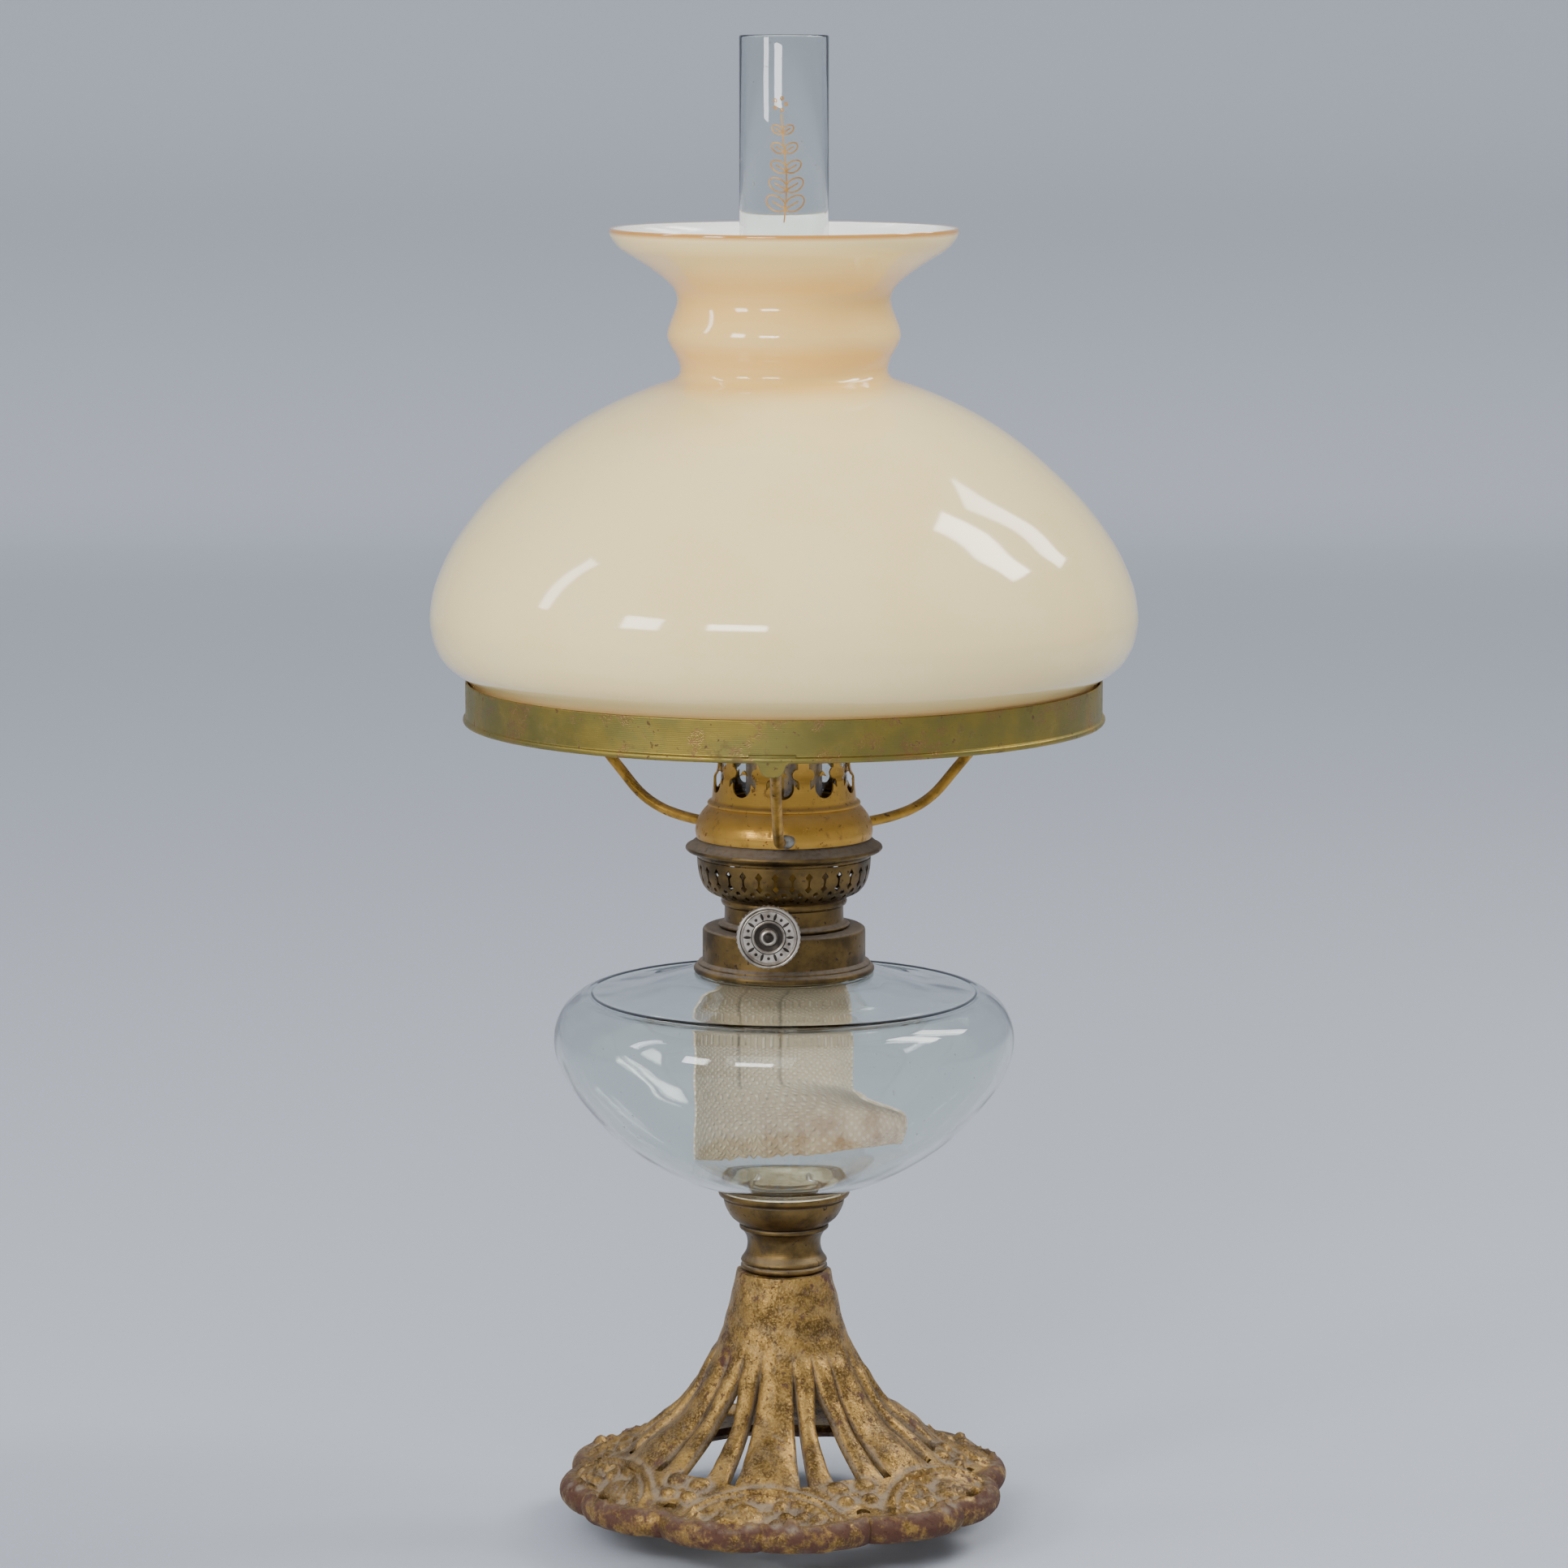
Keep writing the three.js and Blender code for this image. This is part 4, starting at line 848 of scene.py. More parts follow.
def foot_outline():
    """The casting's outer face, from its top down to the table, with the bead round its edge."""
    top = high("base_casting")
    bell = [(17.8, top), (19.8, 79.6), (22.7, 68.1), (26.6, 56.7), (32.2, 45.2), (40.4, 33.6), (50.4, 25.2),
            (62, 17.2)]
    edge = [(70, 13.2), (76.5, 10.4), (79.5, 9.6), (82.5, 10.0), (85.2, 8.4), (86.5, 5.4), (86.0, 2.4),
            (84.6, 0.4)]
    return evenly(through([(16.2, top), (17.3, top - 0.2)], 2) + through(bell + edge, 8), 1.0) + [(84.2, 0.0)]


def medallion(degrees):
    """Degrees from the nearest medallion's middle; every second medallion is mirrored."""
    number = math.floor((degrees + MEDALLION / 2) / MEDALLION)
    within = degrees - number * MEDALLION
    return -within if number % 2 else within


def slot_halves(r):
    """Half-widths of the wide slots and of the slits at a radius, in degrees; both close towards the top."""
    open_share = stepped((r - 28.5) / 11)
    wide = 5.7 * open_share ** 0.75
    slit = math.degrees((0.55 + 1.2 * (r - 29) / 28) / r) * stepped((r - 28) / 4)
    return wide, slit


def foot_hole(degrees, r, z):
    """Distance inside the foot's slots, the oval hole by each leaf and the notch between medallions."""
    within = medallion(degrees)
    off = abs(within)
    wide, slit = slot_halves(r)
    scale = math.radians(1) * r
    foot_end = 58.5 - r
    tip = r - 29.0
    wide_slot = min(wide * scale - (MEDALLION / 2 - off) * scale, foot_end, tip)
    thin_slot = min(slit * scale - abs(off - SLIT) * scale, foot_end + 1.5, tip)
    t = within * scale
    oval = (1 - math.hypot((t + 11.5) / 5.0, (r - 81.0) / 1.7)) * 1.7
    corner = (MEDALLION / 2 - off) * scale
    notch = min(2.9 - corner - max(0.0, 75.4 - r) * 0.9, 1.5 - abs(r - 75.6))
    return max(wide_slot, thin_slot, oval, notch)


def mound(dx, dy, half_x, half_y, height):
    """A smooth oval lump."""
    away = (dx / half_x) ** 2 + (dy / half_y) ** 2
    return height * math.sqrt(1 - away) if away < 1 else 0.0


# Berries as (sideways, radius) and beads as (sideways, radius, half-width, half-length), in millimetres.
BERRIES = [(6.0, 69.5), (11.5, 69.0), (17.0, 71.3), (8.5, 74.6), (14.2, 75.0), (19.8, 76.4), (5.5, 79.3),
           (11.2, 80.3)]
FOOT_BEADS = [(-5.4, 61.8, 4.0, 3.2), (5.6, 62.0, 4.2, 3.0), (-4.6, 68.6, 3.6, 2.8), (5.0, 68.8, 3.2, 2.6)]


def foot_relief(degrees, r, z):
    """Relief of the casting and how far its scalloped edge moves the point in or out."""
    within = medallion(degrees)
    off = abs(within)
    scale = math.radians(1) * r
    t = within * scale
    wide, slit = slot_halves(r)
    if off < SLIT - slit:
        q = off / (SLIT - slit)
    elif off > MEDALLION / 2 - wide or off < SLIT + slit:
        q = 1.0
    else:
        near, far = SLIT + slit, MEDALLION / 2 - wide
        q = abs(off - (near + far) / 2) / ((far - near) / 2)
    rise = stepped((64 - z) / 16) * (1 - stepped((r - 52) / 9))
    lift = (size("rib_height") * math.sqrt(max(0.0, 1 - q * q)) - 0.9) * rise
    lift += mound(t, r - 55, 9.5, 13, 1.3) * (1 - stepped((r - 56) / 8))
    around = math.hypot(t / 30.5, (r - 85.0) / 22.5)
    fade = 1 - stepped((r - 78) / 3.5)
    lift += 2.1 * math.exp(-((around - 1.0) / 0.036) ** 2) * fade
    lift += 1.7 * math.exp(-((around - 0.885) / 0.032) ** 2) * fade
    if around < 0.85:
        lift -= 1.0 * stepped((0.85 - around) / 0.1) * fade
        leaf = mound(t + 12.0, r - 74.0, 12.0, 7.0, 2.6)
        vein = 0.5 * math.exp(-((r - 74.5 + 0.25 * (t + 12)) / 0.9) ** 2)
        side = 0.28 * math.sin((t + 0.8 * r) * 1.9)
        lift += leaf * (1 + side * 0.6) - vein * (1 if leaf > 0.4 else 0)
        lift += max(mound(t - x, r - y, 2.8, 2.7, 2.5) for x, y in BERRIES)
    lift += 1.3 * math.exp(-((math.hypot((t + 11.5) / 5.0, (r - 81.0) / 1.7) - 1.45) / 0.3) ** 2)
    corner = (MEDALLION / 2 - off) * scale * (1 if within > 0 else -1)
    lift += max(mound(corner - x, r - y, a, b, 2.4) for x, y, a, b in FOOT_BEADS)
    lift += 0.5 * noise.noise(Vector((t * 0.16, r * 0.16, z * 0.16 + degrees * 0.01)))
    share = off / (MEDALLION / 2)
    lobe = 84.2 - 4.4 * share + 5.2 * max(0.0, math.sin(math.pi * share)) ** 0.7
    pull = (lobe - 86.8) * stepped((r - 62) / 22)
    return lift * (1 - stepped((r - 84.5) / 2)), pull


class LAMP_OT_foot(LampOperator, bpy.types.Operator):
    """Adds the openwork cast foot with its stalks, medallions and scalloped edge"""

    bl_idname = "lamp.foot"
    bl_label = "Foot"

    def make(self):
        outline = foot_outline()
        columns, sectors = 144, 3  # medallions mirror in pairs, so a sector holds two
        wall = size("casting_wall")
        points, faces, lifts = openwork(outline, columns, sectors, wall, foot_hole, foot_relief)
        total = columns * sectors
        rows = len(outline)
        hollow, rim = [], []
        for i in range(rows):
            for k in range(total):
                around = [(max(i - 3, 0), k), (min(i + 3, rows - 1), k), (i, (k + 4) % total),
                          (i, (k - 4) % total)]
                level = sum(lifts[a * total + b] for a, b in around) / len(around)
                hollow.append(min(max((level - lifts[i * total + k]) * 1.5, 0.0), 1.0))
                rim.append(stepped((outline[i][0] - 79) / 5))
        top = high("base_casting")
        under = top - 4.5
        plate = turned(eased([(3.6, under), (17.4, under), (16.8, top - 0.3), (3.6, top - 0.3)]), 72)
        count = len(points) + len(plate[0])
        points, faces = joined((points, faces), plate)
        points = spun(points, FOOT_TURN)
        marks = {"hollow": hollow + [0.0] * (count - len(hollow)), "rim": rim + rim + [0.0] * len(plate[0])}
        piece("cast_foot", (points, faces), "lamp_base", "gilded_iron", ["base_casting"], marks,
              50)


class LAMP_OT_tie(LampOperator, bpy.types.Operator):
    """Adds the tie bolt, its washer and its nut"""

    bl_idname = "lamp.tie"
    bl_label = "Tie bolt"

    def make(self):
        bottom, top = low("tie_bolt"), high("tie_bolt")
        thread = []
        pitch = 1.0
        for i in range(12):
            thread += [(2.55, bottom + 0.6 + i * pitch), (3.0, bottom + 1.1 + i * pitch)]
        bolt = [(0, bottom), (2.3, bottom), *thread, (3.0, top - 2.4), (6.4, top - 2.4), (6.4, top - 0.8),
                (4.8, top), (0, top)]
        piece("threaded_tie_bolt", turned(bolt, 40), "lamp_base", "steel", ["tie_bolt"])
        bottom, top = low("tie_washer"), high("tie_washer")
        piece("round_washer", turned(eased([(3.35, bottom), (9.4, bottom), (9.4, top), (3.35, top)]), 64),
              "lamp_base", "steel", ["tie_washer"])
        bottom, top = low("tie_nut"), high("tie_nut")
        corner = 12 / math.sqrt(3)
        sides = 6 * 12
        points = []
        rings = [(3.4, bottom, 0), (5.6, bottom, 0), (corner, bottom + 0.7, 1), (corner, top - 0.7, 1),
                 (5.6, top, 0), (3.4, top, 0)]
        for r, z, hexed in rings:
            for k in range(sides):
                degrees = 360 * k / sides
                shape = math.cos(math.radians(30)) / math.cos(math.radians(degrees % 60 - 30)) if hexed else 1
                points.append(place(r * shape, degrees, z))
        faces = bands(len(rings), sides)
        last = len(points) - sides
        faces += [[last + k, last + (k + 1) % sides, (k + 1) % sides, k] for k in range(sides)]
        piece("hex_nut", (points, faces), "lamp_base", "steel", ["tie_nut"], sharp=25)


class LAMP_OT_stem(LampOperator, bpy.types.Operator):
    """Adds the turned stem and the cup that holds the font"""

    bl_idname = "lamp.stem"
    bl_label = "Stem and cup"

    def make(self):
        z = low("stem_neck")
        waist = [(15.7, z + 4.9), (14.5, z + 7.0), (14.0, z + 9.8), (14.3, z + 12.4), (15.5, z + 14.7),
                 (16.3, z + 15.5)]
        outline = [(3.5, z), (15.6, z), *through([(16.2, z + 0.3), (16.6, z + 1.2), (16.2, z + 2.1)], 4),
                   (15.7, z + 2.4), *through([(16.1, z + 2.7), (16.5, z + 3.4), (16.2, z + 4.2)], 4),
                   *through(waist, 6),
                   (16.6, z + 15.7), *through([(17.0, z + 16.0), (17.1, z + 16.8), (16.8, z + 17.3)], 4),
                   (3.5, z + 17.4)]
        piece("turned_stem", turned(eased(outline, 0.15), 160), "lamp_base", "dark_brass",
              ["stem_neck"])

        z, top = low("font_cup"), high("font_cup")
        bowl = [(17.2, z + 0.3), (19.9, z + 2.4), (21.6, z + 4.9), (22.7, z + 7.4), (23.1, z + 9.4)]
        lip = [(22.6, z + 9.9), (23.3, z + 10.3), (24.6, z + 10.9), (25.1, z + 11.9), (25.0, top)]
        face = [(3.8, z), (16.6, z), *through(bowl, 6), *through(lip, 5)]
        piece("spun_cup", turned(shell(face, 0.9), 160), "lamp_base", "dark_brass",
              ["font_cup"])


class LAMP_OT_font(LampOperator, bpy.types.Operator):
    """Adds the glass font and the plaster that holds it"""

    bl_idname = "lamp.font"
    bl_label = "Font"

    def make(self):
        z = high("font_cup") + JOINT_GAP
        top = low("font_collar") - JOINT_GAP
        belly = [(24.5, z), (30.5, z + 2.5), (40.3, z + 6.0), (52.3, z + 12.6), (64.3, z + 21.2),
                 (75.0, z + 32.3),
                 (82.2, z + 42.0), (86.4, z + 51.4), (87.5, z + 58.0), (86.7, z + 64.0), (83.6, z + 70.2),
                 (78.6, z + 74.6)]
        crease = [(75.4, z + 76.2), (73.2, z + 76.6), (71.0, z + 76.2), (66.5, z + 76.6)]
        crown = [(58, z + 78.0), (48, z + 80.6), (40, z + 83.0), (34, top), (30.2, top)]
        outer = through(belly + crease + crown, 6)
        inner = [p for p in beside(outer, size("font_wall")) if p[0] > 26.9][::-1]
        neck = 28.4
        bore = neck - 2
        rim = high("glass_font")
        peg = low("glass_font")
        outline = [(0, peg), (11.5, peg), (13, peg + 1.5), (13, z - 1.5), (14.5, z - 0.6), (22.5, z), *outer,
                   (neck, top + 1.0), (neck, rim - 0.4), (neck - 0.6, rim), (bore + 0.5, rim),
                   (bore, rim - 0.5),
                   (bore, top - 1.6), (28.6, top - 2.3), *[p for p in inner if p[0] > 28.8],
                   (20, z + size("font_wall")), (0, z + size("font_wall"))]
        piece("blown_font", turned(outline, 192), "lamp_base", "font_glass", ["glass_font"],
              sharp=60)

        z, top = low("font_plaster"), high("font_plaster")
        outline = [(6.9, z), (16.8, z), (19.0, z + 2.2), (20.6, z + 4.4), (21.6, z + 7.0), (21.9, top - 0.3),
                   (16.0, top - 0.2),
                   (13.5, top - 1.8), (13.5, peg - 0.4), (6.9, peg - 0.4)]
        piece("cup_plaster", turned(eased(outline, 0.3), 96), "lamp_base", "plaster",
              ["font_plaster"])
        z, top = low("collar_cement"), high("collar_cement")
        outline = [(28.8, z), (29.5, z), (29.5, top), (25.5, top), (25.5, rim + 0.4), (28.8, rim + 0.4)]
        piece("neck_cement", turned(eased(outline, 0.15), 96), "lamp_base", "plaster",
              ["collar_cement"])


def grooves(root, crest, top, length, ridges):
    """Points of thread grooves going down the wall of a turned piece."""
    pitch = length / ridges
    points = []
    for i in range(ridges):
        points += [(root, top - i * pitch), (root, top - (i + 0.3) * pitch), (crest, top - (i + 0.5) * pitch),
                   (crest, top - (i + 0.8) * pitch)]
    return points + [(root, top - length)]


class LAMP_OT_collar(LampOperator, bpy.types.Operator):
    """Adds the collar that is cemented on the font's neck"""

    bl_idname = "lamp.collar"
    bl_label = "Collar"

    def make(self):
        z, top = low("font_collar"), high("font_collar")
        flange = through([(34.0, z), (34.3, z + 0.9), (34.0, z + 1.9), (33.2, z + 2.6)], 4)
        ledge = through([(32.7, z + 2.9), (32.6, z + 3.5), (31.6, z + 4.1)], 4)
        shoulder = through([(30.9, top - 1.5), (30.6, top - 0.6), (29.8, top - 0.1), (29.0, top)], 4)
        bore = grooves(24.1, 23.6, top - 1.2, 9, 4)
        outline = [(30.0, z), *flange, *ledge, (30.9, z + 4.6), *shoulder, (24.4, top), *bore,
                   (25.0, top - 10.2),
                   (25.0, top - 0.8), (30.0, top - 0.8)]
        piece("spun_collar", turned(eased(outline, 0.12), 176), "lamp_base", "dark_brass",
              ["font_collar"])


# ---- Burner ----


def burner_body():
    """The neck that screws into the collar, with its bead. The spindle's hole, hidden behind the bush, is not
    cut.
    """
    z, top = high("font_collar") + JOINT_GAP, high("burner_neck")
    under = low("burner_neck")
    wall = size("sheet")
    thread = grooves(23.1, 23.6, z - 1.6, 8.4, 4)[::-1]
    bead = through([(24.6, z), (24.9, z + 0.6), (24.4, z + 1.3), (23.4, z + 1.7)], 4)
    outline = [(21.4, under), *thread, (23.1, z), *bead, (22.6, z + 2.3), (22.5, top), (22.5 - wall, top)]
    return turned(eased(outline, 0.12), 144)


COLUMNS_OF_HOLES = 32


def basket_hole(degrees, r, z):
    """Rows of keyhole slots, dots and small diamonds. Each sector holds one column."""
    base = low("air_basket")
    pitch = 360 / COLUMNS_OF_HOLES
    scale = math.radians(1) * r
    t = abs(degrees - pitch / 2) * scale
    side = min(degrees, pitch - degrees) * scale
    h = z - base
    upper = 1.0 * (1 - t / 1.5 - abs(h - 14.6) / 1.85)
    lower = 0.95 * (1 - t / 1.4 - abs(h - 9.9) / 1.6)
    slit = min(0.42 - t, h - 9.9, 14.6 - h)
    dot = 0.95 - math.hypot(side, h - 7.7)
    small = 0.7 * (1 - t / 0.95 - abs(h - 5.6) / 1.1)
    drop = 0.55 - math.hypot(side, h - 4.3)
    return max(upper, lower, slit, dot, small, drop)


def basket_wall():
    """The basket's outer face, drawn upwards."""
    z = low("air_basket")
    bowl = [(24.6, z + 3.4), (28.2, z + 4.9), (30.4, z + 7.1), (31.7, z + 9.9), (32.5, z + 13.2),
            (32.9, z + 16.6), (32.9, z + 18)]
    return evenly(through(bowl, 6), 0.31)


def screen_hole(degrees, r, z):
    """Three rings of round holes; each sector holds one of each."""
    scale = math.radians(1) * r
    t = (degrees - 6) * scale
    return max(0.95 - math.hypot(t, r - ring) for ring in (20.0, 24.2, 28.4))


class LAMP_OT_burner(LampOperator, bpy.types.Operator):
    """Adds the burner's neck, its perforated air basket, the flared ring, the screen and the wick tubes"""

    bl_idname = "lamp.burner"
    bl_label = "Burner"

    def make(self):
        points, faces = burner_body()
        piece("threaded_burner_neck", (points, faces), "burner", "dark_brass", ["burner_neck"])

        z = low("air_basket")
        wall = basket_wall()
        bowl = openwork(wall[::-1], 20, COLUMNS_OF_HOLES, size("sheet"), basket_hole)
        bead = [(22.9, z), *through([(23.5, z + 0.1), (23.9, z + 1.2), (23.6, z + 2.3)], 4), (24.0, z + 2.8),
                (24.5, z + 3.2),
                (23.8, z + 3.3), (22.6, z + 2.6), (17.6, z + 2.4), (17.6, z + 1.7), (22.9, z + 1.6)]
        piece("perforated_basket", joined(bowl[:2], turned(eased(bead, 0.1), 160)), "burner",
              "dark_brass", ["air_basket"], sharp=45)

        z = low("vase_ring")
        cove = [(33.0, z), (33.3, z + 0.8), (34.6, z + 1.6), (36.0, z + 2.1)]
        bead = [(36.7, z + 2.3), (37.3, z + 3.1), (37.0, z + 4.0), (36.2, z + 4.3)]
        slope = [(35.0, z + 5.2), (33.6, z + 6.3), (32.6, z + 6.9)]
        outline = [(32.1, z), *through(cove, 5), *through(bead, 5), *through(slope, 4), (32.1, z + 7.2),
                   (32.1, high("vase_ring")), (31.4, high("vase_ring")), (31.4, z + 6.2), (35.4, z + 3.4),
                   (32.1, z + 0.9)]
        piece("flared_ring", turned(eased(outline, 0.12), 176), "burner", "dark_brass",
              ["vase_ring"])

        z = high("air_screen")
        outline = evenly([(30.9, z), (17.4, z)], 0.45)
        points, faces, _ = openwork(outline, 14, 30, -0.7, screen_hole)
        piece("pierced_screen", (points, faces), "burner", "golden_brass", ["air_screen"])

        z, top = low("wick_tube"), high("wick_tube")
        seat = high("burner_neck") + JOINT_GAP
        taper = [(16.4, seat + 20), (16.2, seat + 23), (14.6, seat + 30), (14.4, seat + 34)]
        funnel = [(13.8, seat + 30), (15.4, seat + 23), (15.6, seat + 20)]
        flange = [(22.2, seat), (22.2, seat + 0.8), (16.4, seat + 0.8)]
        outer = [(16.4, z), (16.4, seat), *flange, *through(taper, 6), (14.4, top - 0.6)]
        inner = [(13.6, top), (13.6, seat + 34), *through(funnel, 6), (15.6, z)]
        piece("outer_wick_tube", turned(eased(outer + inner, 0.1), 120), "burner", "golden_brass",
              ["wick_tube"])

        z, top = low("draught_tube"), high("draught_tube")
        tube = turned(eased([(10.4, z), (11.2, z), (11.2, top), (10.4, top)], 0.1), 96)
        fin = extruded([(-0.4, -10.9), (0.4, -10.9), (0.4, -13.2), (-0.4, -13.2)], z + 10, top - 0.2, 0.1)
        piece("centre_draught_tube", joined(tube, fin), "burner", "golden_brass", ["draught_tube"])


# ---- Wick feed ----

KNOB_RIDGES = 40


def feed_axis():
    """Where the wick spindle lies: its distance to the right of the lamp's axis and its height."""
    lowest, highest = BOXES["wick_spindle"]
    return (lowest[0] + highest[0]) / 2 / MM, (lowest[2] + highest[2]) / 2 / MM


def on_spindle(shape):
    """A shape turned from the lamp's axis onto the wick spindle, whose front end points to the front."""
    points, faces = shape
    x, z = feed_axis()
    return [Vector((p.x + x, -p.z, p.y + z)) for p in points], faces


def stud(x, y, half_x, half_y, base, height, turn):
    """A low oval bead on the knob's face, its long side turned by an angle."""
    points = []
    rings = [(1.0, 0.0), (0.92, 0.6), (0.6, 0.92)]
    sides = 14
    for share, up in rings:
        for k in range(sides):
            a = TURN * k / sides
            u, v = half_x * share * math.cos(a), half_y * share * math.sin(a)
            far_x = x + u * math.cos(turn) - v * math.sin(turn)
            far_y = y + u * math.sin(turn) + v * math.cos(turn)
            points.append(Vector((far_x, far_y, base + height * up)))
    points.append(Vector((x, y, base + height)))
    points.append(Vector((x, y, base - 0.15)))
    faces = bands(len(rings), sides)
    for k in range(sides):
        n = (k + 1) % sides
        faces.append([(len(rings) - 1) * sides + k, (len(rings) - 1) * sides + n, len(points) - 2])
        faces.append([n, k, len(points) - 1])
    return points, faces


class LAMP_OT_feed(LampOperator, bpy.types.Operator):
    """Adds the wick knob with its beaded border, the spindle, its bush and the finish of the cog wheels"""

    bl_idname = "lamp.feed"
    bl_label = "Wick feed"

    def make(self):
        front = -BOXES["wick_knob"][0][1] / MM
        back = front - 4
        rim = 11.8
        dish = [(1.9, front - 1.6), (3.2, front - 1.5), (4.4, front - 1.35), (5.4, front - 1.0)]
        inner_bead = [(5.6, front - 0.75), (5.9, front - 0.55), (6.2, front - 0.75)]
        outer_bead = [(9.7, front - 0.75), (10.0, front - 0.5), (10.3, front - 0.7)]
        lip = [(10.6, front - 0.35), (11.1, front), (11.6, front - 0.3), (rim, front - 1.0)]
        face = [*through(dish, 4), *through(inner_bead, 3), (6.4, front - 0.95), (9.5, front - 0.95),
                *through(outer_bead, 3), *through(lip, 4), (rim, back + 1.2), (11.3, back + 0.4),
                (10.4, back),
                (3.9, back), (3.3, back - 2), (1.9, back - 2)]

        def milled(degrees, r, z):
            on_edge = r > 11.5 and z < front - 0.7
            return 0.16 * math.cos(math.radians(degrees) * KNOB_RIDGES) if on_edge else 0.0

        piece("wick_knob_disc", on_spindle(turned(face, 8 * KNOB_RIDGES, milled)), "wick_feed",
              "nickel", ["wick_knob"])

        beads = []
        for k in range(20):
            a = TURN * k / 20
            long_one = k % 2 == 0
            beads.append(stud(7.95 * math.cos(a), 7.95 * math.sin(a), 1.45 if long_one else 0.62,
                              0.55 if long_one else 0.62, front - 0.96, 0.25, a))
        # Painted shade: dark rings laid in the dish, in the groove inside the lip and beside the inner bead,
        # where shade falls.
        dish_shade_ring = [(3.4, front - 1.45), (5.3, front - 0.98), (5.3, front - 1.3), (3.4, front - 1.7)]
        groove_shade_ring = [(10.35, front - 0.68), (10.6, front - 0.28), (10.75, front - 0.25), (10.75, front - 0.7)]
        line = [(6.22, front - 0.7), (6.5, front - 0.88), (6.5, front - 1.1), (6.22, front - 1.1)]
        beads += [turned(dish_shade_ring, 64), turned(groove_shade_ring, 96), turned(line, 64)]
        piece("knob_beads_and_painted_shade", on_spindle(joined(*beads)), "wick_feed", "blackened")

        shoulder = through([(3.3, front - 0.9), (3.0, front - 0.1), (2.3, front + 0.4), (1.85, front + 0.2)],
                           4)
        boss = [(0, front - 1.35), (3.3, front - 1.35), *shoulder, (0, front + 0.2)]
        piece("knob_boss", on_spindle(turned(eased(boss, 0.1), 48)), "wick_feed", "nickel",
              ["knob_rivet"])
        cap = through([(1.75, front + 0.6), (1.3, front + 1.2), (0.6, front + 1.5), (0.05, front + 1.6)], 4)
        dome = [(0, front + 0.25), (1.75, front + 0.25), *cap, (0, front + 1.6)]
        piece("knob_rivet_dome", on_spindle(turned(dome, 40)), "wick_feed", "blackened")

        start, stop = -BOXES["wick_spindle"][1][1] / MM, -BOXES["wick_spindle"][0][1] / MM
        rod = [(0, start), (1.2, start), (1.5, start + 0.4), (1.5, stop - 1.6), (0, stop - 1.6)]
        piece("round_spindle", on_spindle(turned(rod, 40)), "wick_feed", "steel", ["wick_spindle"])
        start, stop = -BOXES["spindle_bush"][1][1] / MM, -BOXES["spindle_bush"][0][1] / MM
        bush = [(2.0, start), (2.7, start), (2.7, stop - 1.8),
                *through([(3.1, stop - 1.6), (3.3, stop - 0.9), (3.0, stop - 0.2), (2.0, stop)], 3)]
        piece("turned_bush", on_spindle(turned(eased(bush, 0.1), 48)), "burner", "dark_brass",
              ["spindle_bush"])
        for node in ("front_cog", "rear_cog"):
            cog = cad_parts[node]
            cog.data.materials.clear()
            cog.data.materials.append(finish("golden_brass"))


# ---- Wick ----


def wick_section(z):
    """The rolled wick at a height: its middle radius, the azimuth of its middle, its spread in degrees and
    how far its middle is moved, all at the low setting."""
    width = size("wick_width")
    feed = high("burner_neck") + 8
    shoulder = low("font_collar")
    tight = (width + 2) / TURN
    radius = 14.4 + (tight - 14.4) * stepped((z - feed) / 12)
    loose = stepped((shoulder + 14 - z) / 16)
    open_share = stepped((shoulder - z) / 22)
    radius += (LOOSE_RADIUS - radius) * loose
    radius += 11.5 * open_share
    spread = math.degrees(width / radius)
    seam = 180 + (-5.9) * (1 - stepped((z - feed) / 12)) * (1 - loose)
    return radius, seam, spread, open_share


